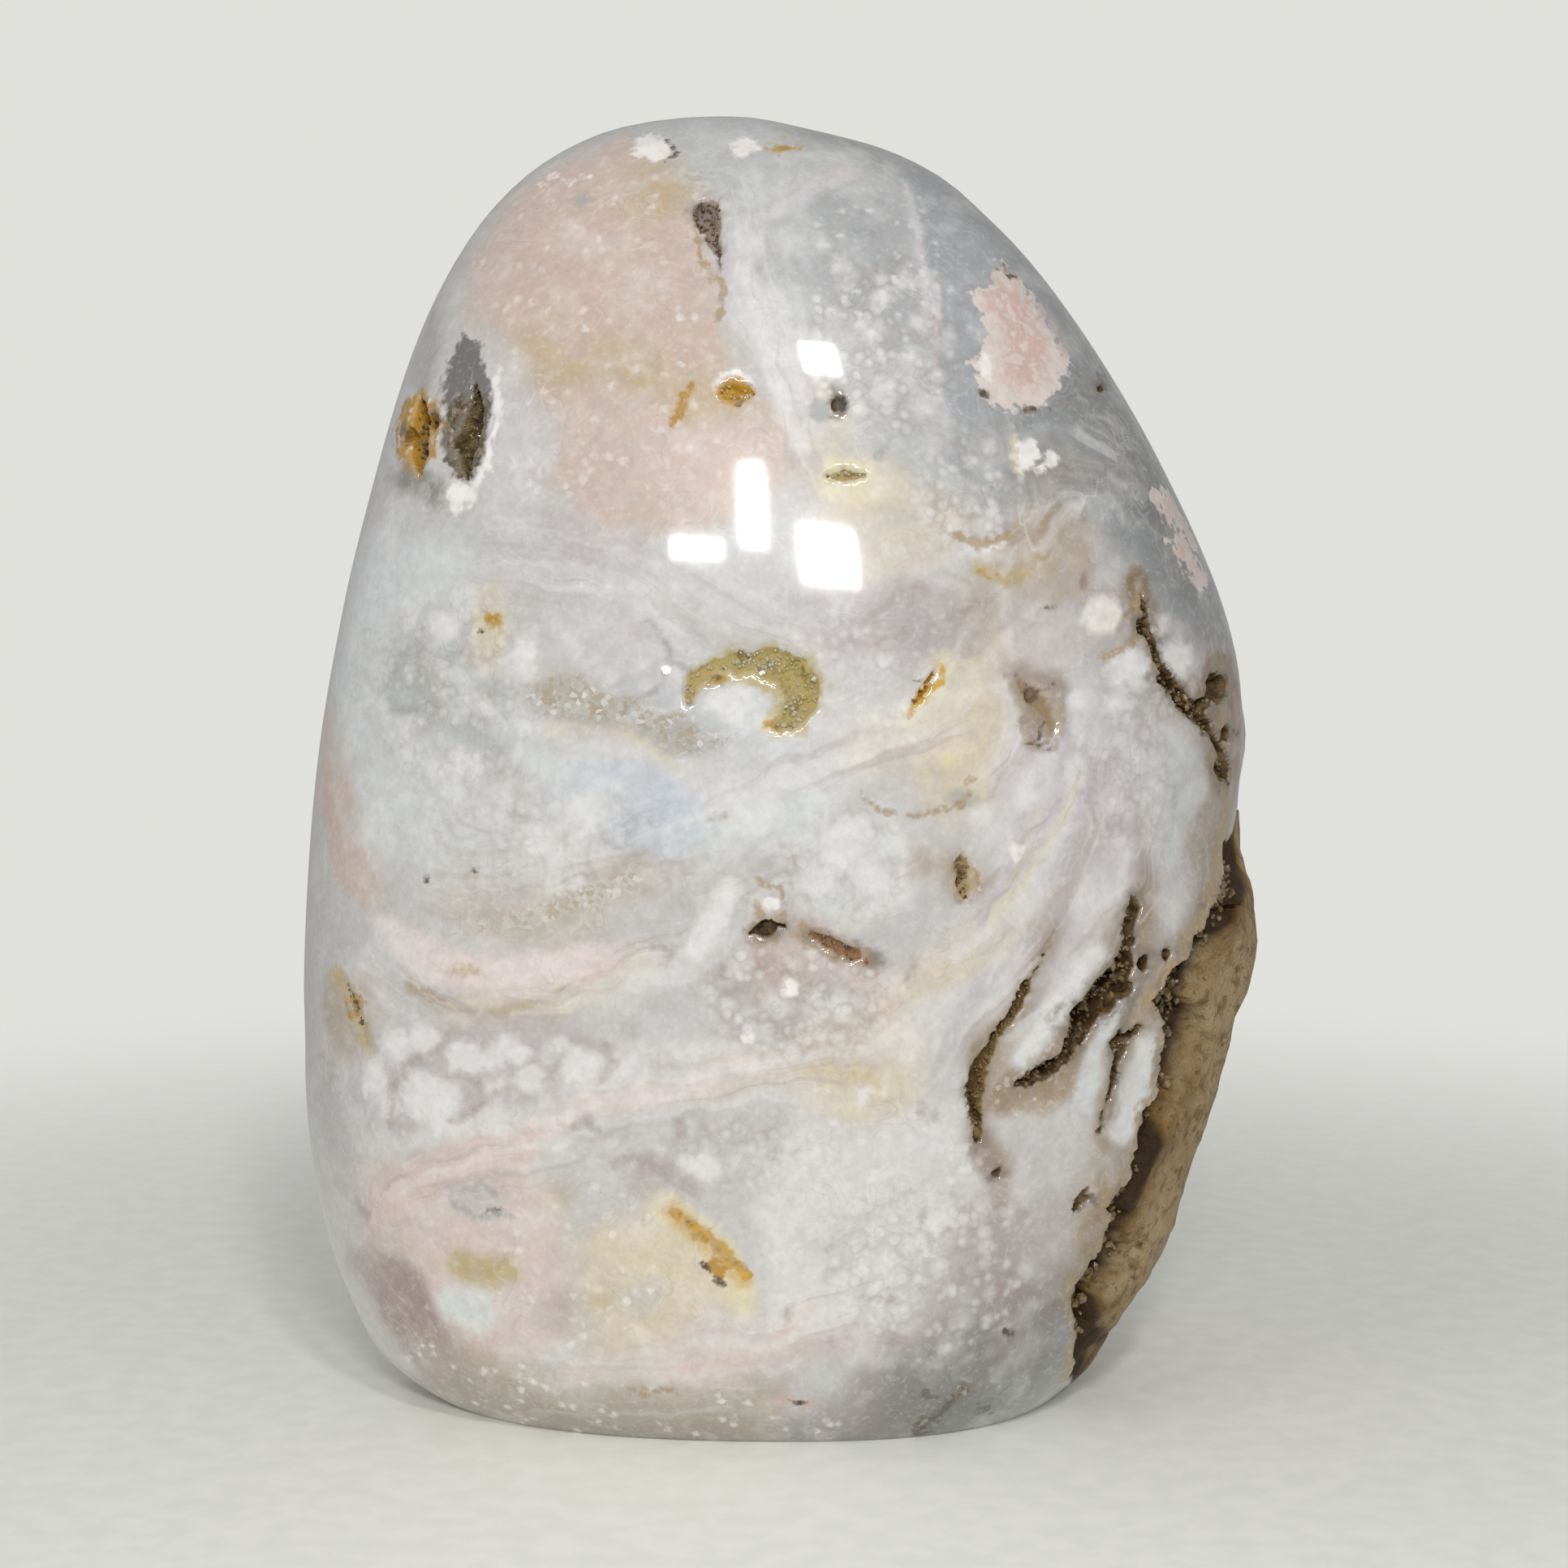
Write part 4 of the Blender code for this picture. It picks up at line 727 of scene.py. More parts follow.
        (BAND, ((1403, 736), (1411, 771), (1420, 800), (1434, 836), (1468, 862), (1490, 896),
            (1512, 930), (1510, 962), (1516, 992)), 13),
        (BAND, ((1362, 812), (1396, 790), (1412, 776)), 8),
        (BAND, ((1500, 812), (1508, 846), (1512, 900), (1508, 946)), 16), (BAND, LIP, 18))),
    "ochre_marks": ("ochre", 0.95, 4, 8, (
        (SPOT, (904, 484, 22, 16, 0)), (BAND, ((854, 480), (842, 492), (830, 518)), 11),
        (SPOT, (606, 763, 9, 6, 0)),
        (BAND, ((1158, 822), (1158, 840), (1132, 858), (1118, 885)), 7),
        (BAND, ((829, 1494), (854, 1515), (881, 1531), (900, 1554), (917, 1571)), 10),
        (SPOT, (884, 1562, 13, 12, 30)), (SPOT, (960, 892, 16, 9, 0)),
        (BAND, ((1204, 706), (1220, 712), (1232, 706)), 5), (SPOT, (437, 1238, 9, 13, 0)),
        (SPOT, (968, 181, 12, 4, 0)), (SPOT, (880, 832, 14, 6, 0)))),
    "gold_marks": ("bright_gold", 1.0, 4, 5, (
        (BAND, ((829, 1492), (848, 1510), (868, 1522)), 8),
        (BAND, ((862, 1518), (881, 1531), (900, 1552), (914, 1570)), 11),
        (BAND, ((1160, 820), (1160, 840), (1140, 858), (1120, 882)), 7),
        (SPOT, (516, 512, 12, 16, 12)))),
    # Dark umber dots and lines, some of them painted shade in small holes.
    "brown_marks": ("umber", 0.95, 3, 6, (
        (BAND, ((823, 172), (833, 186), (822, 198)), 5), (SPOT, (1032, 497, 8, 13, 0)),
        (SPOT, (1214, 483, 8, 4, 0)), (SPOT, (1272, 503, 13, 4, 0)), (SPOT, (594, 779, 4, 3, 0)),
        (SPOT, (1246, 340, 7, 4, 20)), (SPOT, (1231, 329, 4, 3, 0)),
        (BAND, ((868, 1556), (881, 1573), (893, 1580)), 7), (SPOT, (980, 1728, 8, 4, 0)),
        (SPOT, (1241, 1640, 4, 8, 0)), (SPOT, (1131, 840, 4, 3, 0)), (SPOT, (529, 1084, 3, 3, 0)),
        (SPOT, (587, 1073, 3, 3, 0)), (SPOT, (1290, 748, 4, 4, 0)),
        (BAND, ((1330, 1482), (1344, 1476), (1352, 1486)), 5), (SPOT, (848, 866, 5, 4, 0)),
        (BAND, ((900, 480), (914, 490), (908, 500)), 5), (SPOT, (532, 518, 9, 10, 0)),
        (SPOT, (503, 536, 9, 10, 0)), (SPOT, (572, 544, 17, 13, 0)),
        (BAND, ((1256, 836), (1266, 850), (1276, 858), (1272, 876)), 5),
        (BAND, ((1276, 858), (1292, 846), (1304, 834)), 4),
        (BAND, ((1272, 876), (1284, 894), (1280, 918)), 4), (BAND, ((1284, 894), (1300, 888)), 3),
        (BAND, ((1262, 918), (1280, 908), (1294, 922)), 3),
        (BAND, ((1484, 906), (1506, 900), (1528, 903)), 4),
        (BAND, ((1436, 842), (1452, 848), (1466, 856)), 6))),
}
MARK_LIMIT = 24.0
MARKS_SHOW = (0.02, 0.22)
# Behind the stone's middle the wide marks bend more and more.
BEHIND = (-0.002, 0.030)
BEND_BEHIND = 9

# What lines each hollow, where it isn't the dark umber that is also painted shade.
LININGS = {
    "ochre_pit": "gold", "narrow_ochre_pit": "olive", "orange_crack": "gold",
    "ochre_streak": "ochre", "ochre_pocket": "moss", "grey_pit": "dark_grey", "top_pit": "mauve",
    "left_pit": "ochre", "left_grey_pit": "olive_dark", "tan_pit": "tan", "brown_pit": "stain",
    "slot": "red_brown", "left_crack": "moss_brown", "edge_crack": "tan", "crescent": "dark_brown",
}
GOLDEN = ("ochre_pit", "left_pit", "orange_crack", "ochre_streak")
# How far inside a hollow its lining and its stain are full, and the depths at which it is crusted
# and at which its painted shade is darkest.
LINED = 0.4
STAINED = 0.8
CRUSTED_DEPTH = 0.0008
DARKEST_SHADE_DEPTH = 0.007

# Where the stone's finer patterns lie: bubbles, pale specks, flowing bands and fine crystals with
# painted glints.
PATTERNS = {
    "orbs": (
        (0.3, 50, PATCH, ((430, 1250), (640, 1262), (860, 1290), (790, 1360), (600, 1420),
            (440, 1420))),
        (0.9, 40, SPOT, (1085, 430, 90, 110, 0)),
        (0.6, 50, SPOT, (560, 850, 110, 130, 0)),
        (0.9, 30, SPOT, (980, 1220, 120, 84, 0)),
        (0.8, 40, SPOT, (1190, 600, 70, 80, 40)),
        (0.6, 40, SPOT, (910, 1420, 120, 50, 0)),
        (0.7, 50, SPOT, (1150, 1560, 140, 110, 0)),
        (0.7, 40, SPOT, (1040, 1070, 90, 70, 0)),
        (0.8, 30, SPOT, (1420, 840, 60, 60, 0)),
        (0.5, 60, SPOT, (700, 1040, 160, 80, 0)),
        (0.6, 40, SPOT, (1380, 960, 70, 90, 0)),
        (0.5, 50, SPOT, (1080, 790, 110, 60, 0)),
    ),
    "specks": (
        (0.55, 50, PATCH, ((600, 220), (860, 200), (960, 600), (700, 660), (560, 560))),
        (0.8, 40, SPOT, (1080, 340, 90, 110, 0)),
        (1.0, 30, BAND, ((520, 1660), (660, 1726), (860, 1750), (1000, 1740)), 90),
        (0.9, 24, SPOT, (690, 415, 50, 60, 0)),
        (0.8, 24, SPOT, (820, 430, 80, 60, 0)),
        (0.6, 50, SPOT, (1000, 880, 180, 60, 0)),
        (0.5, 60, SPOT, (1080, 1420, 140, 160, 0)),
        (0.6, 40, SPOT, (700, 1560, 130, 110, 0)),
    ),
    "bands": (
        (1.0, 60, PATCH, ((1240, 860), (1440, 900), (1430, 1100), (1340, 1240), (1230, 1330),
            (1130, 1300), (1180, 1120))),
        (0.7, 60, BAND, ((560, 1060), (780, 1060), (960, 960), (1140, 900), (1240, 780)), 130),
        (0.9, 50, BAND, ((480, 1200), (640, 1230), (800, 1180), (960, 1060)), 90),
        (0.8, 50, BAND, ((480, 1470), (640, 1400), (900, 1320), (1100, 1260)), 110),
        (0.6, 50, BAND, ((940, 260), (960, 400), (1010, 560)), 110),
        (0.7, 50, BAND, ((650, 1700), (860, 1700), (1010, 1620), (1100, 1480)), 90),
        (0.6, 50, BAND, ((640, 700), (860, 760), (1040, 840)), 120),
        (0.6, 40, BAND, ((1220, 700), (1310, 640), (1360, 570)), 110),
    ),
    "crystals": (
        (0.9, 14, PATCH, ((648, 855), (678, 832), (709, 828), (747, 851), (782, 866), (812, 882),
            (839, 874), (874, 901), (897, 908), (889, 924), (835, 927), (812, 912), (770, 885),
            (724, 889), (663, 882))),
        (0.7, 14, BAND, ((600, 1138), (652, 1132), (717, 1108), (782, 1084)), 26),
        (0.6, 12, PATCH, ((1224, 1330), (1300, 1290), (1340, 1290), (1330, 1350), (1270, 1380),
            (1222, 1370))),
        (1.0, 8, SPOT, (516, 530, 30, 48, 12)),
        (0.8, 8, SPOT, (572, 540, 26, 56, 0)),
        (0.8, 8, SPOT, (1284, 576, 12, 8, 0)),
        (0.7, 8, BAND, ((1130, 1760), (1188, 1712)), 18),
        (0.7, 8, SPOT, (1196, 1090, 18, 26, 0)),
        (0.6, 8, SPOT, (1284, 880, 30, 44, 0)),
    ),
}

# Paths that the flowing bands follow, from left to right.
FLOW_PATHS = (
    ((486, 1466), (610, 1410), (763, 1359), (927, 1306), (1080, 1260), (1180, 1180), (1260, 1100),
     (1320, 980), (1345, 880)),
    ((440, 1120), (587, 1130), (782, 1084), (900, 1010), (1040, 940), (1160, 870), (1250, 780),
     (1330, 640)),
    ((1120, 1600), (1190, 1450), (1240, 1330), (1304, 1237), (1342, 1180), (1388, 1084),
     (1395, 977)),
    ((560, 700), (760, 700), (900, 760), (1040, 800), (1160, 760)),
    ((470, 1170), (594, 1236), (724, 1200), (860, 1120), (960, 1060)),
    ((900, 240), (930, 360), (965, 423), (1000, 560), (1060, 640)),
    ((1116, 228), (1131, 312), (1158, 400), (1170, 500), (1240, 610)),
    ((620, 1720), (820, 1700), (954, 1656), (1100, 1600), (1240, 1565)),
    ((420, 760), (450, 900), (440, 1020), (470, 1100)),
)
FLOW_REACH = 30.0
# How shapes waver, as the sizes of lumps and their reach in pixels: loosely where an edge is soft,
# and tightly where it is crisper than a limit in pixels.
WARP_LOOSE = ((0.0080, 13.0), (0.0030, 7.0), (0.0012, 3.5))
WARP_TIGHT = ((0.0022, 3.4), (0.0009, 2.2))
TIGHT_BELOW = 17

POLISH = 0.06
AGATE_IOR = 1.54
# The stone under its polish mirrors less than the polish does.
UNDER_COAT_IOR = 1.3
PIXEL_SIZE_MM = 0.09
VEIN_LEVELS = (0.41, 0.53, 0.62)
# The balls' spacing in millimetres and strength, and the spacing of specks, grains and crystals.
ORBS = ((4.2, 0.8), (2.4, 0.8), (1.3, 0.7))
SPECK_SPACING = 1.5
GRAIN_SPACING = 0.55
CRYSTAL_SPACING = 0.7

# The druse. Each crust has its hollow, its crystals per square metre, their radius and length.
CRUSTS = {
    "side_fissure_crust": ("side_fissure", 1.6e6, 0.00036, 0.0010),
    "front_fissure_crust": ("front_fissure", 3.0e6, 0.00022, 0.0007),
    "upper_fissure_crust": ("upper_fissure", 3.0e6, 0.00024, 0.0007),
    "left_pit_crust": ("left_pit", 3.0e6, 0.00026, 0.0008),
    "ochre_pocket_crust": ("ochre_pocket", 4.0e6, 0.00020, 0.0005),
}
SMALL_DRUSE = ("upper_fissure_branch", "left_crack", "third_crack", "top_pit", "left_grey_pit",
               "tan_pit", "slot", "edge_crack", "lower_crack")
OCHRE_DRUSE = ("ochre_pit", "narrow_ochre_pit")
SMALL_CRYSTALS = (3.0e6, 0.00016, 0.0004)
CRUST_STARTS = (HOLLOW_HALO - 0.95, HOLLOW_HALO - 0.6)
SMALL_CRUST_STARTS = (HOLLOW_HALO - 1.0, HOLLOW_HALO - 0.7)
CRYSTAL_SIDES = 6
CRYSTAL_TIP = 0.4
CRYSTAL_ROOT = 0.9
CRYSTAL_LEAN = 0.35
CRYSTAL_SUNK = 0.3
CRYSTAL_SIZES = (0.55, 1.25)
LARGE_CRYSTALS = 0.08
LARGE_EXTRA = 0.7
TIP_LIGHT = 0.6
CRYSTAL_LIMIT = 8000
SEED = 7

# Light and surroundings. Each highlight has a pixel, a width and height, and how brightly it glows.
LAMP_DISTANCE = 0.55
RAY_REACH = (0.8 * CAMERA_DISTANCE, 1.1 * CAMERA_DISTANCE)
RAY_STEPS = 4000
HIGHLIGHTS = (
    ("wide_box", (1022, 684), 0.066, 0.047, 85.0),
    ("tall_box", (929, 620), 0.017, 0.078, 80.0),
    ("long_box", (856, 675), 0.070, 0.013, 80.0),
    ("high_box", (1011, 441), 0.050, 0.046, 80.0),
)
ROOM_TONE = (224, 225, 220)
ROOM_LIGHT = 0.375
SIDE_LAMP = (-0.75, -0.55, 0.40)
SIDE_LAMP_SIZE = 0.50
SIDE_LAMP_POWER = 1.5
FLOOR_TONES = ((240, 242, 234), (246, 247, 240))
FLOOR_RADIUS = 1.2
FLOOR_SIDES = 96
FLOOR_FADE = (0.075, 0.30)


def smooth(low, high, at):
    t = np.clip((at - low) / (high - low), 0.0, 1.0)
    return t * t * (3 - 2 * t)


def corner_value(cell, seed):
    """A repeatable value from -1 to 1 for each cell of a lattice."""
    mixed = cell[:, 0] * 73856093 ^ cell[:, 1] * 19349663 ^ cell[:, 2] * 83492791
    mixed = (mixed ^ seed * 974634777) & 0xFFFFFFFF
    mixed = (mixed ^ mixed >> 13) * 1274126177 & 0xFFFFFFFF
    mixed = (mixed ^ mixed >> 15) * 2246822519 & 0xFFFFFFFF
    return (mixed ^ mixed >> 16 & 0xFFFF) % 65536 / 32767.5 - 1


def noise(points, size, seed=0):
    """Smooth noise from -1 to 1 with lumps of a size."""
    scaled = points / size
    cell = np.floor(scaled).astype(np.int64)
    t = scaled - cell
    t = t * t * (3 - 2 * t)
    total = np.zeros(len(points))
    for corner in np.ndindex(2, 2, 2):
        weight = np.prod(np.where(corner, t, 1 - t), axis=1)
        total += weight * corner_value(cell + np.array(corner), seed)
    return total


def layered(points, layers, seed=0):
    """Noise in layers of (size, amount)."""
    return sum(noise(points, size, seed + k) * amount for k, (size, amount) in enumerate(layers))


def between(rows, at):
    """Values at heights on the smooth curve through rows of (height, value)."""
    heights, values = (np.array(column) for column in zip(*rows))
    i = np.clip(np.searchsorted(heights, at) - 1, 0, len(rows) - 2)
    low = np.clip(np.arange(len(rows)) - 1, 0, None)
    high = np.clip(np.arange(len(rows)) + 1, None, len(rows) - 1)
    slopes = (values[high] - values[low]) / (heights[high] - heights[low])
    span = heights[i + 1] - heights[i]
    t = np.clip((at - heights[i]) / span, 0.0, 1.0)
    return ((2 * t ** 3 - 3 * t ** 2 + 1) * values[i] + (t ** 3 - 2 * t ** 2 + t) * span * slopes[i]
            + (3 * t ** 2 - 2 * t ** 3) * values[i + 1] + (t ** 3 - t ** 2) * span * slopes[i + 1])


def spine(z):
    """The x of the body's middle line at a height."""
    return SPINE_BASE + (SPINE_TOP - SPINE_BASE) * z / TOP


def swell(z):
    """The width at a height of an oval as tall as the body, as a share of its full width."""
    return np.sqrt(np.maximum(1 - ((z - MIDDLE) / HALF) ** 2, 1e-9))


def side_curve(side):
    """The rows of (height, reach) for one side, with the swell taken out of them."""
    rows = []
    for row in OUTLINE:
        from_line = row[side] - spine(row[0]) if side in (LEFT, RIGHT) else row[side]
        rows.append((row[0], abs(from_line) / float(swell(row[0]))))
    return rows


SIDE_CURVES = {side: side_curve(side) for side in (LEFT, RIGHT, FRONT, BACK)}


def scales(x_sign, y_sign, z):
    """How far the body's unit ball is drawn out in x and y at each height."""
    wide = np.where(x_sign < 0, between(SIDE_CURVES[LEFT], z), between(SIDE_CURVES[RIGHT], z))
    deep = np.where(y_sign < 0, between(SIDE_CURVES[FRONT], z), between(SIDE_CURVES[BACK], z))
    return wide, deep


def body(ball):
    """Points of the smooth body for points of the blunt unit ball."""
    z = MIDDLE + HALF * ball[:, 2]
    wide, deep = scales(ball[:, 0], ball[:, 1], z)
    return np.column_stack((spine(z) + ball[:, 0] * wide, ball[:, 1] * deep, z))


def blunt_radius(ball):
    """How far out from the middle line points lie, in the body's slightly square rounds."""
    return (np.abs(ball[:, 0]) ** BLUNTNESS + np.abs(ball[:, 1]) ** BLUNTNESS) ** (1 / BLUNTNESS)


def fullness(points):
    """1 on the body's surface, less inside and more outside."""
    x, y, z = points.T
    wide, deep = scales(x - spine(z), y, z)
    ball = np.column_stack(((x - spine(z)) / wide, y / deep))
    return blunt_radius(ball) ** 2 + ((z - MIDDLE) / HALF) ** 2


def body_normals(points, step=0.0002):
    slopes = [fullness(points + offset) - fullness(points - offset) for offset in np.eye(3) * step]
    normals = np.column_stack(slopes)
    return normals / np.linalg.norm(normals, axis=1, keepdims=True)


def on_ball(ball):
    """Moves points onto the blunt unit ball, level with where they are except near the top."""
    radius = blunt_radius(ball)
    level = np.sqrt(np.maximum(1 - ball[:, 2] ** 2, 0.0)) / np.maximum(radius, 1e-9)
    whole = 1 / np.sqrt(radius ** 2 + ball[:, 2] ** 2)
    near_pole = ball[:, 2] > POLE_SHARE
    across = np.where(near_pole, whole, level)
    up = np.where(near_pole, whole, 1.0)
    return ball * np.column_stack((across, across, up))


def front_point(x, z):
    """The point of the smooth front at an x and a height."""
    across = x - spine(z)
    side = SIDE_CURVES[LEFT if across < 0 else RIGHT]
    share = min(abs(across) / float(between(side, z) * swell(z)), 1.0)
    depth = float(between(SIDE_CURVES[FRONT], z) * swell(z))
    return np.array((x, -depth * (1 - share ** BLUNTNESS) ** (1 / BLUNTNESS), z))


def right_of_lip(points):
    """How far right of the side fissure's lip each point is seen, in pixels."""
    seen = np.where(points[:, 1] < 0, distance_to_path(*project(points), LIP), 0.0)
    hidden = smooth(-LIP_SEEN, 0.0, points[:, 1]) * FAR_BEHIND_LIP
    return seen + layered(points, LIP_RAGGED, 91) + hidden


def rim_share(points):
    """1 on the rough natural rim, fading to 0 on the polished stone around it."""
    x, y, z = points.T
    behind = smooth(*RIM_BEHIND_LIP, right_of_lip(points))
    share = (np.abs((y - RIM_MIDDLE[0]) / RIM_REACH[0]) ** RIM_SQUARENESS
             + np.abs((z - RIM_MIDDLE[1]) / RIM_REACH[1]) ** RIM_SQUARENESS)
    oval = 1 - smooth(*RIM_ENDS, share + layered(points, RIM_RAGGED, 96))
    reach = between(SIDE_CURVES[RIGHT], z) * swell(z)
    right = smooth(*RIM_FROM_MIDDLE, (x - spine(z)) / reach)
    return behind * oval * right * smooth(0.0, RIM_FADE, z)


def path_frames(name):
    """A hollow's path as arrays of points and widths, with its share of depth at each."""
    path = HOLLOWS[name][3]
    points = np.array([front_point(x, z) for x, z, _ in path])
    widths = np.array([width for _, _, width in path])
    return points, widths, np.sqrt(widths / widths.max())


def hollow_shares(name, points):
    """How far each point is from a hollow's middle, as a share of its half width there (negative
    on its left), the hollow's share of depth there and that half width."""
    path, widths, depths = path_frames(name)
    best = np.full(len(points), 1e9)
    share = np.full(len(points), 99.0)
    depth = np.zeros(len(points))
    half_widths = np.ones(len(points))
    for i in range(len(path) - 1):
        along = path[i + 1] - path[i]
        offset = points - path[i]
        t = np.clip(offset @ along / (along @ along), 0.0, 1.0)
        gap = offset - t[:, None] * along
        distance = np.linalg.norm(gap, axis=1)
        nearer = distance < best
        half_width = (widths[i] + (widths[i + 1] - widths[i]) * t) / 2
        best = np.where(nearer, distance, best)
        signed = np.copysign(distance / half_width, gap[:, 0] + gap[:, 1])
        share = np.where(nearer, signed, share)
        depth = np.where(nearer, depths[i] + (depths[i + 1] - depths[i]) * t, depth)
        half_widths = np.where(nearer, half_width, half_widths)
    return share, depth, half_widths


def scallops(points):
    """How far the edge of a hollow moves in or out, in rounded lobes with sharp notches."""
    return sum((np.sqrt(np.abs(noise(points, size, 70 + k))) - SCALLOP_MIDDLE) * amount
               for k, (size, amount) in enumerate(SCALLOPS))


def hollows_at(points):
    """Each point's depth below the body, and for each hollow near it how far inside it is."""
    total = np.zeros(len(points))
    inside = {}
    for name, (depth, left, right, path) in HOLLOWS.items():
        reach = max(width for _, _, width in path) * HOLLOW_HALO
        corners = path_frames(name)[0]
        near = np.all((points > corners.min(0) - reach) & (points < corners.max(0) + reach), axis=1)
        value = np.zeros(len(points))
        if near.any():
            spot = points[near]
            share, depths, half_widths = hollow_shares(name, spot)
            share += np.copysign(scallops(spot) / half_widths, share)
            wall = np.where(share < 0, left, right)
            down = 1 - smooth(1 - wall, 1.0, np.abs(share))
            floor = 1 + layered(spot, FLOOR_GRAIN, seed=9)
            dug = np.zeros(len(points))
            dug[near] = depth * depths * down * floor
            total = np.maximum(total, dug)
            value[near] = np.clip(HOLLOW_HALO - np.abs(share), 0.0, HOLLOW_HALO)
        inside[name] = value
    pits, inside["pits"] = pits_at(points)
    trench, inside["side_fissure"] = trench_at(points)
    return np.maximum.reduce((total, pits, trench)), inside


def trench_at(points):
    """The side fissure's depth at each point, and how far inside it the point is."""
    heights, widths, depths = (np.array(column) for column in zip(*TRENCH))
    width = np.interp(points[:, 2], heights, widths)
    depth = np.interp(points[:, 2], heights, depths)
    across = right_of_lip(points)
    share = across / width
    down = smooth(0.0, TRENCH_WALL, across) * (1 - smooth(*TRENCH_FAR_WALL, share))
    inside = np.where(depth > TRENCH_COUNTS, HOLLOW_HALO - np.abs(share - 0.5) * 2, 0.0)
    floor = 1 + layered(points, FLOOR_GRAIN, seed=12)
    return depth * down * floor, np.clip(inside, 0.0, HOLLOW_HALO)


def pits_at(points):
    """The small pits' depth at each point, and how far inside one the point is."""
    x, y = project(points)
    lump, reach = PIT_RAGGED
    x = x + noise(points, lump, 81) * reach
    y = y + noise(points, lump, 82) * reach
    total = np.zeros(len(points))
    inside = np.zeros(len(points))
    for *shape, depth in PITS:
        share = inside_spot(x, y, shape) / min(shape[2], shape[3])
        total = np.maximum(total, smooth(0.0, PIT_WALL, share) * depth / 1000)
        inside = np.maximum(inside, np.clip(share, -1.0, HOLLOW_HALO - PIT_EDGE) + PIT_EDGE)
    front = points[:, 1] < 0
    return total * front, inside * front


def shaped(ball, base):
    """The stone's own points, from the smooth body, its rough rim and its hollows."""
    smooth_points = body(ball)
    normals = body_normals(smooth_points)
    rough = rim_share(smooth_points) * ~base
    lumps = layered(smooth_points, RIM_LUMPS, seed=1) * rough
    depth, _ = hollows_at(smooth_points)
    fade = smooth(0.0, FADE_AT_BASE, smooth_points[:, 2]) * ~base
    uneven = Canvas(smooth_points, normals).pattern(UNEVEN) * (1 - rough)
    lumps += (layered(smooth_points, UNEVEN_LUMPS, seed=21) - UNEVEN_LUMPS[0][1]) * uneven * fade
    return smooth_points + normals * (lumps - depth * fade)[:, None], smooth_points, normals


def first_ball():
    """A coarse blunt ball in rings, from the sawn base to the top, closed by a flat base."""
    low = -MIDDLE / HALF
    levels = np.sin(np.linspace(math.asin(low), math.pi / 2, FIRST_RINGS + 1))[:-1]
    turns = np.arange(FIRST_SEGMENTS) * math.tau / FIRST_SEGMENTS
    circle = np.column_stack((np.cos(turns), np.sin(turns), np.zeros(FIRST_SEGMENTS)))
    rings = []
    for k in range(1, BASE_RINGS + 1):
        rings.append(circle * k / (BASE_RINGS + 1) * math.sqrt(1 - low ** 2) + (0, 0, low))
    for level in levels:
        rings.append(on_ball(circle * math.sqrt(1 - level ** 2) + (0, 0, level)))
    base = np.zeros((len(rings) * FIRST_SEGMENTS + 2), bool)
    base[:BASE_RINGS * FIRST_SEGMENTS] = True
    base[-2] = True
    points = np.vstack(rings + [np.array(((0, 0, low), (0, 0, 1.0)))])
    triangles = []
    for k in range(FIRST_SEGMENTS):
        after = (k + 1) % FIRST_SEGMENTS
        triangles.append((len(points) - 2, after, k))
        for ring in range(len(rings) - 1):
            low_ring = ring * FIRST_SEGMENTS
            high_ring = low_ring + FIRST_SEGMENTS
            triangles.append((low_ring + k, low_ring + after, high_ring + after))
            triangles.append((low_ring + k, high_ring + after, high_ring + k))
        last = (len(rings) - 1) * FIRST_SEGMENTS
        triangles.append((last + k, last + after, len(points) - 1))
    return points, np.array(triangles), base


def split_edges(ball, triangles, base, too_long):
    """Halves the edges that are too long, and parts each triangle to fit."""
    sides = np.stack((triangles, np.roll(triangles, -1, axis=1)), axis=2)
    edges, which = np.unique(np.sort(sides.reshape(-1, 2), axis=1), axis=0, return_inverse=True)
    which = which.reshape(-1, 3)
    marked = too_long(edges)
    while True:
        crowded = marked[which].sum(axis=1) == 2
        if not crowded.any():
            break
        marked[which[crowded].ravel()] = True
    fresh = np.full(len(edges), -1)
    fresh[marked] = len(ball) + np.arange(marked.sum())
    ends = edges[marked]
    middles = (ball[ends[:, 0]] + ball[ends[:, 1]]) / 2
    flat = base[ends].any(axis=1)
    middles = np.where(flat[:, None], middles, on_ball(middles))
    cuts = fresh[which]
    count = (cuts >= 0).sum(axis=1)
    pieces = [triangles[count == 0]]
    whole = triangles[count == 3]
    cut = cuts[count == 3]
    pieces.append(cut)
    for k in range(3):
        pieces.append(np.column_stack((whole[:, k], cut[:, k], cut[:, k - 1])))
        single = (count == 1) & (cuts[:, k] >= 0)
        one = triangles[single]
        pieces.append(np.column_stack((one[:, k], cuts[single, k], one[:, k - 1])))
        pieces.append(np.column_stack((cuts[single, k], one[:, (k + 1) % 3], one[:, k - 1])))
    return np.vstack((ball, middles)), np.vstack(pieces), np.append(base, flat)


def project(points):
    """The photograph's pixels for points of the stone."""
    offset = points - np.array(CAMERA_PLACE)
    depth = offset[:, 1] * math.cos(CAMERA_PITCH) - offset[:, 2] * math.sin(CAMERA_PITCH)
    up = offset[:, 1] * math.sin(CAMERA_PITCH) + offset[:, 2] * math.cos(CAMERA_PITCH)
    middle = IMAGE / 2
    return middle + FOCAL * offset[:, 0] / depth, middle - FOCAL * up / depth


def facing(points, normals):
    """How squarely each point faces the photograph's camera."""
    towards = np.array(CAMERA_PLACE) - points
    towards /= np.linalg.norm(towards, axis=1, keepdims=True)
    return (normals * towards).sum(axis=1)


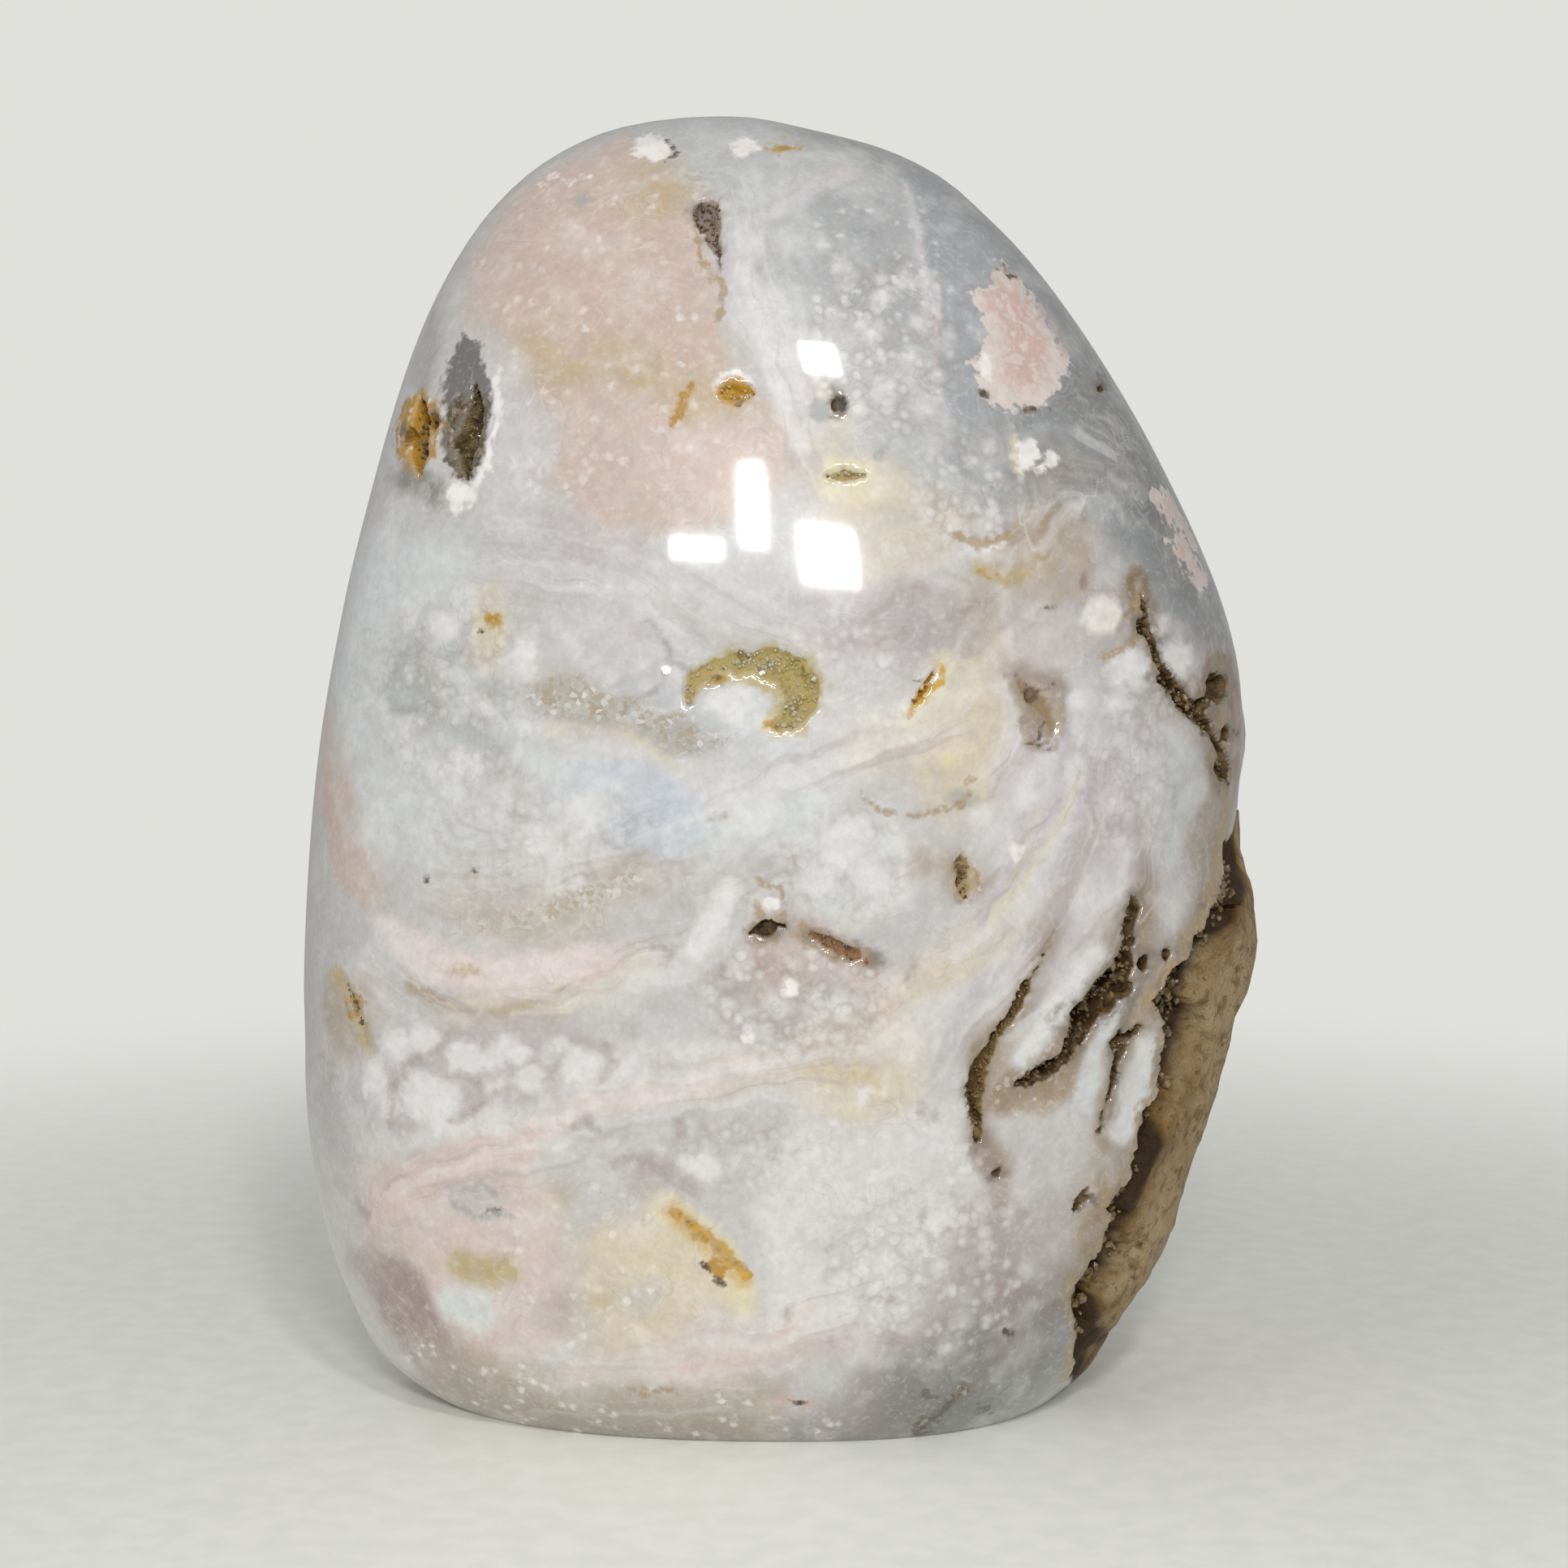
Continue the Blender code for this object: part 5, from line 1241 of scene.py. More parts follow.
def refine():
    """The ball's mesh, made finer where the stone turns to the front, has a hollow or is marked."""
    ball, triangles, base = first_ball()
    for _ in range(REFINEMENTS):
        points, smooth_points, normals = shaped(ball, base)
        front = smooth(*TURNED_TO_FRONT, facing(smooth_points, normals))
        limit = BACK_EDGE + (FRONT_EDGE - BACK_EDGE) * front
        limit = np.minimum(limit, np.where(rim_share(smooth_points) > RIM_COUNTS, RIM_EDGE, 1.0))
        near = np.max(list(hollows_at(smooth_points)[1].values()), axis=0)
        limit = np.where(near > HOLLOW_HALO - HOLLOW_COUNTS, np.minimum(limit, HOLLOW_EDGE), limit)
        canvas = Canvas(smooth_points, normals)
        marked = np.max([canvas.marks(rows) for *_, rows in MARKS.values()], axis=0)
        limit = np.where(np.abs(marked) < MARK_NEAR, np.minimum(limit, MARK_TRIANGLE_EDGE), limit)
        limit = np.where(base, BASE_EDGE, limit)

        def too_long(edges):
            length = np.linalg.norm(points[edges[:, 0]] - points[edges[:, 1]], axis=1)
            return length > EDGE_SLACK * np.minimum(limit[edges[:, 0]], limit[edges[:, 1]])

        before = len(triangles)
        ball, triangles, base = split_edges(ball, triangles, base, too_long)
        if len(triangles) == before:
            break
    return ball, triangles, base


def mesh_from(name, points, triangles):
    mesh = bpy.data.meshes.new(name)
    mesh.from_pydata(points.tolist(), [], triangles.tolist())
    mesh.update()
    return mesh


def inside_spot(x, y, shape):
    """How far inside an oval each pixel is, in pixels."""
    middle_x, middle_y, half_width, half_height, turn = shape
    angle = math.radians(turn)
    across = (x - middle_x) * math.cos(angle) + (y - middle_y) * math.sin(angle)
    down = (y - middle_y) * math.cos(angle) - (x - middle_x) * math.sin(angle)
    share = np.hypot(across / half_width, down / half_height)
    return (1 - share) * min(half_width, half_height)


def distance_to_path(x, y, path):
    """Each pixel's distance to a path, below zero on its right."""
    best = np.full(len(x), 1e9)
    signed = np.full(len(x), 1e9)
    for (x1, y1), (x2, y2) in zip(path, path[1:]):
        along_x = x2 - x1
        along_y = y2 - y1
        share = ((x - x1) * along_x + (y - y1) * along_y) / (along_x ** 2 + along_y ** 2)
        share = np.clip(share, 0.0, 1.0)
        gap_x = x - x1 - along_x * share
        gap_y = y - y1 - along_y * share
        distance = np.hypot(gap_x, gap_y)
        nearer = distance < best
        best = np.where(nearer, distance, best)
        signed = np.where(nearer, np.copysign(distance, gap_x * along_y - gap_y * along_x), signed)
    return signed


def inside_outline(x, y, outline):
    """How far inside a closed outline each pixel is, in pixels."""
    closed = outline + outline[:1]
    inside = np.zeros(len(x), bool)
    for (x1, y1), (x2, y2) in zip(closed, closed[1:]):
        if y1 != y2:
            crosses = (y1 > y) != (y2 > y)
            inside ^= crosses & (x < (x2 - x1) * (y - y1) / (y2 - y1) + x1)
    distance = np.abs(distance_to_path(x, y, closed))
    return np.where(inside, distance, -distance)


def shape_depth(x, y, kind, shape, width=0):
    """How far inside a painted shape each pixel is, in pixels."""
    if kind == SPOT:
        return inside_spot(x, y, shape)
    if kind == BAND:
        return width / 2 - np.abs(distance_to_path(x, y, shape))
    return inside_outline(x, y, shape)


def linear(tone):
    """A tone from 0 to 255 as linear light."""
    share = np.array(tone) / 255
    return np.where(share <= 0.04045, share / 12.92, ((share + 0.055) / 1.055) ** 2.4)


class Canvas:
    """The stone's vertices laid out in the photograph's pixels. Behind the stone's edge the front's
    wide marks carry on, bent further the further back they lie."""

    def __init__(self, points, normals):
        mirrored = points * (1, -1, 1)
        x, y = project(np.where(points[:, 1:2] > 0, mirrored, points))
        bend = 1 + BEND_BEHIND * smooth(*BEHIND, points[:, 1])
        self.loose = (x + layered(points, WARP_LOOSE, 31) * bend,
                      y + layered(points, WARP_LOOSE, 41) * bend)
        self.tight = x + layered(points, WARP_TIGHT, 51), y + layered(points, WARP_TIGHT, 61)
        self.front = smooth(*MARKS_SHOW, facing(points, normals))

    def cover(self, strength, soft, kind, shape, width=0):
        x, y = self.tight if soft < TIGHT_BELOW else self.loose
        share = smooth(-soft / 2, soft / 2, shape_depth(x, y, kind, shape, width))
        return share * strength * (self.front if soft < TIGHT_BELOW else 1.0)

    def pattern(self, rows):
        total = np.zeros(len(self.front))
        for strength, soft, *shape in rows:
            total = np.maximum(total, self.cover(strength, soft, *shape))
        return total

    def marks(self, rows):
        """How far inside the nearest of these marks each vertex is, in pixels."""
        x, y = self.tight
        depth = np.full(len(x), -MARK_LIMIT)
        for kind, shape, *width in rows:
            depth = np.maximum(depth, shape_depth(x, y, kind, shape, *width))
        return np.clip(depth, -MARK_LIMIT, MARK_LIMIT) - MARK_LIMIT * 2 * (1 - self.front)

    def flow(self):
        """How far across the flow each vertex lies, in pixels."""
        x, y = self.loose
        weights = 0
        total = 0
        for path in FLOW_PATHS:
            distance = distance_to_path(x, y, path)
            weight = 1 / (np.abs(distance) + FLOW_REACH) ** 3
            weights = weights + weight
            total = total + weight * distance
        return total / weights


def painted(canvas):
    """Each vertex's colour in linear light."""
    color = np.tile(linear(TONES["base"]), (len(canvas.front), 1))
    for tone, strength, soft, *shape in PAINT:
        share = canvas.cover(strength, soft, *shape)[:, None]
        color = color * (1 - share) + linear(TONES[tone]) * share
    return color


def lining_colors(inside):
    """The colour of the crust in each hollow, and elsewhere a dark umber that is also painted
    shade.
    """
    color = np.tile(linear(TONES["umber"]), (len(inside["slot"]), 1))
    for hollow, tone in LININGS.items():
        share = smooth(0.0, LINED, inside[hollow])[:, None]
        color = color * (1 - share) + linear(TONES[tone]) * share
    return color


def store(mesh, name, values):
    mesh.attributes.new(name, "FLOAT", "POINT").data.foreach_set("value", values.astype(np.float32))


def store_color(mesh, name, colors):
    rows = np.column_stack((colors, np.ones(len(colors)))).astype(np.float32)
    mesh.color_attributes.new(name, "FLOAT_COLOR", "POINT").data.foreach_set("color", rows.ravel())


class Graph:
    """A material's nodes, added one by one."""

    def __init__(self, name):
        self.material = bpy.data.materials.new(name)
        self.material.use_nodes = True
        self.tree = self.material.node_tree
        self.shader = self.tree.nodes["Principled BSDF"]

    def add(self, kind, inputs=(), **settings):
        node = self.tree.nodes.new(kind)
        for setting, value in settings.items():
            setattr(node, setting, value)
        for socket, value in dict(inputs).items():
            self.set(node.inputs[socket], value)
        return node

    def set(self, socket, value):
        if isinstance(value, bpy.types.NodeSocket):
            self.tree.links.new(value, socket)
        else:
            socket.default_value = value

    def attribute(self, name, output="Fac"):
        return self.add("ShaderNodeAttribute", attribute_name=name).outputs[output]

    def math(self, operation, *values):
        node = self.add("ShaderNodeMath", operation=operation)
        for socket, value in zip(node.inputs, values):
            self.set(socket, value)
        return node.outputs[0]

    def vector(self, operation, *values):
        node = self.add("ShaderNodeVectorMath", operation=operation)
        for socket, value in zip(node.inputs, values):
            self.set(socket, value)
        return node.outputs[0]

    def scale(self, vector, amount):
        node = self.add("ShaderNodeVectorMath", {"Scale": amount}, operation="SCALE")
        self.set(node.inputs[0], vector)
        return node.outputs[0]

    def combine(self, x, y, z):
        return self.add("ShaderNodeCombineXYZ", {"X": x, "Y": y, "Z": z}).outputs[0]

    def noise(self, vector, size, detail=2.0, output="Fac"):
        return self.add("ShaderNodeTexNoise", {"Vector": vector, "Scale": 1 / size,
                                               "Detail": detail}).outputs[output]

    def millimetres(self):
        place = self.add("ShaderNodeTexCoord").outputs["Object"]
        return self.scale(place, 1000.0)

    def shift(self, vector, size, detail):
        """A smooth random shift, as likely one way as the other."""
        return self.vector("SUBTRACT", self.noise(vector, size, detail, "Color"), (0.5, 0.5, 0.5))

    def cells(self, vector, size):
        """The distance to the nearest of scattered points, and a random share for each of them."""
        node = self.add("ShaderNodeTexVoronoi", {"Vector": vector, "Scale": 1 / size})
        split = self.add("ShaderNodeSeparateColor", {"Color": node.outputs["Color"]})
        return node.outputs["Distance"], split.outputs[0]

    def ramp(self, value, low, high, to_low=0.0, to_high=1.0):
        return self.add("ShaderNodeMapRange", {"Value": value, "From Min": low, "From Max": high,
                                               "To Min": to_low, "To Max": to_high},
                        interpolation_type="SMOOTHSTEP").outputs[0]

    def mix(self, share, first, second, blend="MIX"):
        node = self.add("ShaderNodeMix", data_type="RGBA", blend_type=blend)
        self.set(node.inputs["Factor"], share)
        for socket, value in ((node.inputs[6], first), (node.inputs[7], second)):
            if isinstance(value, str):
                value = (*linear(TONES[value]), 1.0)
            self.set(socket, value)
        return node.outputs[2]

    def tint(self, color, tone, value, low, high, most, share=None):
        """The colour with a tone laid over it, where a value has gone from low to high."""
        amount = self.ramp(value, low, high, 0.0, most)
        if share is not None:
            amount = self.math("MULTIPLY", share, amount)
        return self.mix(amount, color, tone)

    def surface(self, settings):
        for socket, value in settings.items():
            self.set(self.shader.inputs[socket], value)


def agate_material():
    """Polished agate: clouds, flowing bands, bubbles and specks over the painted tone, and rough
    brown crystals where the stone is hollow or broken."""
    g = Graph("polished_agate")
    place = g.millimetres()
    wander = g.shift(place, 3.0, 3.0)
    bent = g.vector("ADD", place, g.scale(wander, 1.8))
    color = add_clouds(g, g.attribute("tone", "Color"), bent)
    color = add_veins(g, color, bent, place)
    color = add_bands(g, color, bent)
    color = add_orbs(g, color, place, wander)
    color = add_specks(g, color, place)
    color = add_marks(g, color, place)
    color = add_grain(g, color, place)
    color, grain = add_crystals(g, color, place)
    color = add_hollows(g, color, place, grain)
    rough = g.math("MAXIMUM", g.attribute("hollow"),
                   g.math("MULTIPLY", g.attribute("crystals"), 0.5))
    height = g.math("MULTIPLY", g.math("ADD", grain, g.noise(place, 0.35, 3.0)), rough)
    bump = g.add("ShaderNodeBump", {"Height": height, "Strength": 0.7, "Distance": 0.0003})
    g.surface({"Base Color": color, "Roughness": g.ramp(rough, 0.0, 0.6, 0.30, 0.62),
               "Coat Weight": g.ramp(rough, 0.0, 0.5, 1.0, 0.0), "Coat Roughness": POLISH,
               "Coat IOR": AGATE_IOR, "IOR": UNDER_COAT_IOR, "Normal": bump.outputs[0]})
    return g.material


def add_clouds(g, color, bent):
    """Soft pale and dusky clouds all over."""
    clouds = g.noise(bent, 6.0, 3.0)
    color = g.tint(color, "white", clouds, 0.48, 0.70, 0.30)
    color = g.tint(color, "pale_grey", clouds, 0.46, 0.28, 0.22)
    shade = g.noise(g.vector("ADD", bent, (40.0, 0.0, 0.0)), 2.8, 2.0)
    color = g.tint(color, "purple", shade, 0.52, 0.74, 0.24)
    return g.tint(color, "white", shade, 0.46, 0.26, 0.22)


def add_veins(g, color, bent, place):
    """Thin dusky outlines of lobes, here and there, each with a paler inner side."""
    field = g.noise(g.vector("ADD", bent, (0.0, 0.0, 30.0)), 5.0, 1.0)
    patchy = g.ramp(g.noise(place, 7.0, 1.0), 0.46, 0.64)
    for level in VEIN_LEVELS:
        above = g.math("SUBTRACT", field, level)
        inner = g.math("MULTIPLY", g.ramp(above, 0.0, 0.012), g.ramp(above, 0.06, 0.012, 0.0, 0.16))
        color = g.mix(g.math("MULTIPLY", inner, patchy), color, "white")
        color = g.tint(color, "mauve", g.math("ABSOLUTE", above), 0.014, 0.0, 0.16, patchy)
    return color


def add_bands(g, color, bent):
    """Pale and dusky bands that follow the flow paths."""
    across = g.combine(g.math("MULTIPLY", g.attribute("flow"), PIXEL_SIZE_MM), 0.0, 0.0)
    place = g.vector("ADD", g.scale(across, 0.9), g.scale(bent, 0.11))
    share = g.attribute("bands")
    wide = g.noise(place, 2.6, 2.0)
    fine = g.noise(g.vector("ADD", place, (0.0, 9.0, 0.0)), 0.9, 2.0)
    color = g.tint(color, "white", wide, 0.50, 0.68, 0.6, share)
    color = g.tint(color, "sand", wide, 0.46, 0.28, 0.5, share)
    color = g.tint(color, "white", fine, 0.50, 0.70, 0.5, share)
    return g.tint(color, "purple", fine, 0.46, 0.30, 0.6, share)


def add_orbs(g, color, place, wander):
    """Soft pale balls of three sizes, each in a thin dusky shade."""
    share = g.attribute("orbs")
    near = g.vector("ADD", place, g.scale(wander, 0.5))
    for size, strength in ORBS:
        away, picked = g.cells(near, size)
        there = g.math("MULTIPLY", share, g.ramp(picked, 0.40, 0.46, 0.0, strength))
        ring = g.math("MULTIPLY", g.ramp(away, 0.34, 0.54), g.ramp(away, 0.80, 0.56, 0.0, 0.32))
        color = g.mix(g.math("MULTIPLY", ring, there), color, "mauve")
        color = g.tint(color, "white", away, 0.56, 0.0, 1.0, there)
    return color


def add_specks(g, color, place):
    """Tiny pale specks, here and there."""
    near = g.vector("ADD", place, g.scale(g.shift(place, 0.7, 2.0), 0.9))
    away, picked = g.cells(near, SPECK_SPACING)
    dot = g.math("MULTIPLY", g.ramp(away, 0.50, 0.14), g.ramp(picked, 0.52, 0.58))
    patchy = g.ramp(g.noise(place, 3.5, 2.0), 0.42, 0.56, 0.0, 0.7)
    amount = g.math("MULTIPLY", dot, g.attribute("specks"))
    return g.mix(g.math("MULTIPLY", amount, patchy), color, "spot_white")


def add_marks(g, color, place):
    """The marks with a clear edge, which wavers on a fine scale."""
    waver = g.math("MULTIPLY_ADD", g.noise(place, 1.1, 2.0), 3.0, -1.5)
    for name, (tone, strength, edge, wander, _) in MARKS.items():
        depth = g.math("MULTIPLY_ADD", waver, float(wander), g.attribute(name))
        color = g.tint(color, tone, depth, -edge, edge, strength)
    return color


def add_grain(g, color, place):
    """Fine dark and pale grain all over."""
    fine = g.noise(place, 0.6, 3.0)
    color = g.tint(color, "spot_white", fine, 0.52, 0.76, 0.18)
    return g.tint(color, "mauve", fine, 0.48, 0.26, 0.14)


def add_crystals(g, color, place):
    """Fine crystals as dark grains and painted glints, and the height of their grains."""
    share = g.attribute("crystals")
    _, picked = g.cells(place, GRAIN_SPACING)
    color = g.tint(color, "tan", picked, 0.55, 0.1, 0.6, share)
    # The light grains are painted glints on the crystals.
    return g.tint(color, "spot_white", picked, 0.8, 0.97, 0.45, share), picked


def add_hollows(g, color, place, grain):
    """Stained stone round the hollows, brown crusted stone in them with painted shade that darkens
    it further in and beside the lip, and the tan natural rim."""
    mixed = g.noise(place, 1.6, 4.0)
    broad = g.noise(g.vector("ADD", place, (0.0, 17.0, 0.0)), 3.2, 2.0)
    lining = g.attribute("lining", "Color")
    stain = g.math("MULTIPLY", g.attribute("stain"), g.ramp(mixed, 0.36, 0.60, 0.15, 0.85))
    color = g.mix(stain, color, g.mix(0.35, lining, "sand"))
    crust = g.tint(lining, "tan", mixed, 0.42, 0.66, 0.34)
    crust = g.tint(crust, "dark_brown", mixed, 0.48, 0.30, 0.6)
    gold = g.tint(lining, "amber", mixed, 0.48, 0.36, 0.5)
    crust = g.mix(g.math("MULTIPLY", g.attribute("golden"), 0.95), crust, gold)
    rim = g.mix(g.ramp(broad, 0.40, 0.66), "rim_tan", "rim_grey")
    rim = g.mix(g.math("MULTIPLY", g.attribute("outer"), 0.6), rim, "rim_pale")
    rim = g.tint(rim, "brown", mixed, 0.50, 0.32, 0.8)
    rim = g.tint(rim, "dark_brown", g.noise(place, 0.7, 2.0), 0.60, 0.74, 0.6)
    crust = g.mix(g.attribute("rim"), crust, rim)
    crust = g.mix(g.math("MULTIPLY", grain, 0.18), crust, "tan")
    # Painted shade: the crust darkens deeper in and beside the lip.
    crust = g.tint(crust, "dark_brown", g.attribute("depth"), 0.08, 0.52, 0.92)
    edge = g.math("ADD", g.attribute("hollow"), g.math("MULTIPLY_ADD", mixed, 0.7, -0.35))
    return g.mix(g.ramp(edge, 0.15, 0.62), color, crust)


def crystal_material(name, dark, light):
    """Small quartz points, brown at the root and paler at the tip."""
    g = Graph(name)
    place = g.millimetres()
    _, picked = g.cells(place, CRYSTAL_SPACING)
    color = g.mix(g.ramp(g.noise(place, 1.8, 3.0), 0.35, 0.65), dark, light)
    color = g.mix(g.math("MULTIPLY", picked, 0.35), color, "tan")
    color = g.mix(g.math("MULTIPLY", g.attribute("tip"), 0.55), color, "sand")
    g.surface({"Base Color": color, "IOR": AGATE_IOR,
               "Roughness": g.ramp(g.noise(place, 0.6, 2.0), 0.3, 0.7, 0.10, 0.34)})
    return g.material


def crystal_template():
    """One six-sided point, closed at its root, along +Z, 1 wide in radius and 1 long."""
    turns = np.arange(CRYSTAL_SIDES) * math.tau / CRYSTAL_SIDES
    ring = np.column_stack((np.cos(turns), np.sin(turns), np.zeros(CRYSTAL_SIDES)))
    points = np.vstack((ring * CRYSTAL_ROOT, ring + (0, 0, 1 - CRYSTAL_TIP),
                        ((0, 0, 0), (0, 0, 1))))
    root, tip = 2 * CRYSTAL_SIDES, 2 * CRYSTAL_SIDES + 1
    triangles = []
    for k in range(CRYSTAL_SIDES):
        after = (k + 1) % CRYSTAL_SIDES
        top, top_after = k + CRYSTAL_SIDES, after + CRYSTAL_SIDES
        triangles += [(root, after, k), (k, after, top_after), (k, top_after, top),
                      (top, top_after, tip)]
    return points, np.array(triangles)


def crystal_axes(normals, chance):
    """Three directions at right angles for each crystal, the last one leaning off its normal."""
    lean = chance.normal(0.0, CRYSTAL_LEAN, normals.shape)
    up = normals + lean
    up /= np.linalg.norm(up, axis=1, keepdims=True)
    side = np.cross(up, chance.normal(0.0, 1.0, normals.shape))
    side /= np.linalg.norm(side, axis=1, keepdims=True)
    return side, np.cross(up, side), up


def scatter(name, mesh_points, triangles, weight, per_area, radius, length, chance):
    """A joined mesh of crystals rooted on the triangles that have a weight."""
    corners = mesh_points[triangles]
    across = np.cross(corners[:, 1] - corners[:, 0], corners[:, 2] - corners[:, 0])
    area = np.linalg.norm(across, axis=1) / 2
    share = area * weight[triangles].min(axis=1)
    count = min(int(share.sum() * per_area), CRYSTAL_LIMIT)
    chosen = chance.choice(len(triangles), count, p=share / share.sum())
    mixed = chance.dirichlet((1, 1, 1), count)
    roots = (corners[chosen] * mixed[:, :, None]).sum(axis=1)
    normals = across[chosen] / (2 * area[chosen, None])
    size = chance.uniform(*CRYSTAL_SIZES, count)
    size *= 1 + (chance.random(count) < LARGE_CRYSTALS) * LARGE_EXTRA
    side, other, up = crystal_axes(normals, chance)
    roots = roots - up * (length * size * CRYSTAL_SUNK)[:, None]
    template, faces = crystal_template()
    points = (roots[:, None]
              + (side * (radius * size)[:, None])[:, None] * template[None, :, :1]
              + (other * (radius * size)[:, None])[:, None] * template[None, :, 1:2]
              + (up * (length * size)[:, None])[:, None] * template[None, :, 2:])
    numbers = faces[None] + (np.arange(count) * len(template))[:, None, None]
    mesh = mesh_from(name, points.reshape(-1, 3), numbers.reshape(-1, 3))
    tip = np.tile(template[:, 2] ** 3, count) * np.repeat(chance.random(count), len(template))
    store(mesh, "tip", tip * TIP_LIGHT)
    return mesh


def add_piece(name, mesh, material, replaced=None):
    piece = bpy.data.objects.new(name, mesh)
    bpy.context.scene.collection.objects.link(piece)
    mesh.materials.append(material)
    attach(piece, "root")
    if replaced:
        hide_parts(replaced)
    return piece


def make_stone():
    """The stone's piece, and what its crystals need: its points, triangles and hollow shares."""
    ball, triangles, base = refine()
    points, smooth_points, normals = shaped(ball, base)
    mesh = mesh_from("agate", points, triangles)
    mesh.shade_smooth()
    depth, inside = hollows_at(smooth_points)
    canvas = Canvas(smooth_points, normals)
    store_color(mesh, "tone", painted(canvas))
    store_color(mesh, "lining", lining_colors(inside))
    for name, rows in PATTERNS.items():
        store(mesh, name, canvas.pattern(rows))
    for name, (*_, rows) in MARKS.items():
        store(mesh, name, canvas.marks(rows))
    store(mesh, "flow", canvas.flow())
    rim = rim_share(smooth_points) * ~base
    across = right_of_lip(smooth_points)
    uneven = across + layered(smooth_points, LIP_SHADE_RAGGED, 95)
    # Painted shade on the rim just right of the lip, darkest beside it.
    painted_lip_shade = (1 - smooth(0.0, LIP_SHADE_REACH, uneven)) * rim * LIP_SHADE
    store(mesh, "rim", rim)
    store(mesh, "outer", smooth(*OUTER_RIM, across))
    store(mesh, "hollow", np.maximum(rim, smooth(0.0, CRUSTED_DEPTH, depth) * ~base))
    # The depth attribute carries painted shade, darker deeper in the hollows and beside the lip.
    store(mesh, "depth", np.maximum(smooth(0.0, DARKEST_SHADE_DEPTH, depth), painted_lip_shade) * ~base)
    store(mesh, "golden", np.max([smooth(0.0, LINED, inside[name]) for name in GOLDEN], axis=0))
    stain = np.max([smooth(0.0, STAINED, value) for value in inside.values()], axis=0)
    store(mesh, "stain", stain * ~base)
    add_piece("agate_freeform", mesh, agate_material(), "agate_stone")
    return points, triangles, inside


def make_crusts(points, triangles, inside):
    """The druse: a joined mesh of quartz points for each main hollow and one for the small ones."""
    brown = crystal_material("brown_druse", "dark_brown", "moss_brown")
    ochre = crystal_material("ochre_druse", "moss", "sand")
    chance = np.random.default_rng(SEED)
    for name, (hollow, per_area, radius, length) in CRUSTS.items():
        weight = smooth(*CRUST_STARTS, inside[hollow])
        mesh = scatter(name, points, triangles, weight, per_area, radius, length, chance)
        is_ochre = hollow == "ochre_pocket"
        add_piece(name.replace("crust", "druse"), mesh, ochre if is_ochre else brown,
                  name)
    for name, hollows, material, slot in (("small_hollow_druse", SMALL_DRUSE, brown, "druse"),
                                          ("ochre_pit_druse", OCHRE_DRUSE, ochre, "ochre_druse")):
        weight = smooth(*SMALL_CRUST_STARTS, np.max([inside[hollow] for hollow in hollows], axis=0))
        mesh = scatter(name, points, triangles, weight, *SMALL_CRYSTALS, chance)
        add_piece(name, mesh, material)


def meet_body(pixel):
    """The point of the smooth body seen at a pixel of the photograph, and its normal."""
    across = (pixel[0] - IMAGE / 2) / FOCAL
    up = (IMAGE / 2 - pixel[1]) / FOCAL
    ray = np.array((across, math.cos(CAMERA_PITCH) + up * math.sin(CAMERA_PITCH),
                    up * math.cos(CAMERA_PITCH) - math.sin(CAMERA_PITCH)))
    steps = np.linspace(*RAY_REACH, RAY_STEPS)
    points = np.array(CAMERA_PLACE) + steps[:, None] * ray
    within = (points[:, 2] < TOP) & (points[:, 2] > 0)
    hit = points[np.argmax(within & (fullness(np.clip(points, None, TOP - 1e-5)) <= 1))]
    return hit, body_normals(hit[None])[0]


def add_light(name, place, target, width, height, power):
    light = bpy.data.lights.new(name, "AREA")
    light.shape = "RECTANGLE"
    light.size = width
    light.size_y = height
    light.energy = power
    lamp = bpy.data.objects.new(name, light)
    lamp.location = place
    lamp.rotation_euler = (Vector(target) - Vector(place)).to_track_quat("-Z", "Y").to_euler()
    bpy.context.scene.collection.objects.link(lamp)
    return lamp


def add_highlights():
    """Soft boxes placed so that the polished front mirrors each at its own pixel."""
    for name, pixel, width, height, glow in HIGHLIGHTS:
        point, normal = meet_body(pixel)
        towards = np.array(CAMERA_PLACE) - point
        towards /= np.linalg.norm(towards)
        mirrored = 2 * (normal @ towards) * normal - towards
        power = glow * math.pi * width * height
        add_light(name, point + mirrored * LAMP_DISTANCE, point, width, height, power)


def add_side_light():
    """A wide soft lamp on the left that the polish doesn't mirror."""
    lamp = add_light("side_lamp", SIDE_LAMP, (0.0, 0.0, MIDDLE), SIDE_LAMP_SIZE, SIDE_LAMP_SIZE,
                     SIDE_LAMP_POWER)
    lamp.visible_glossy = False


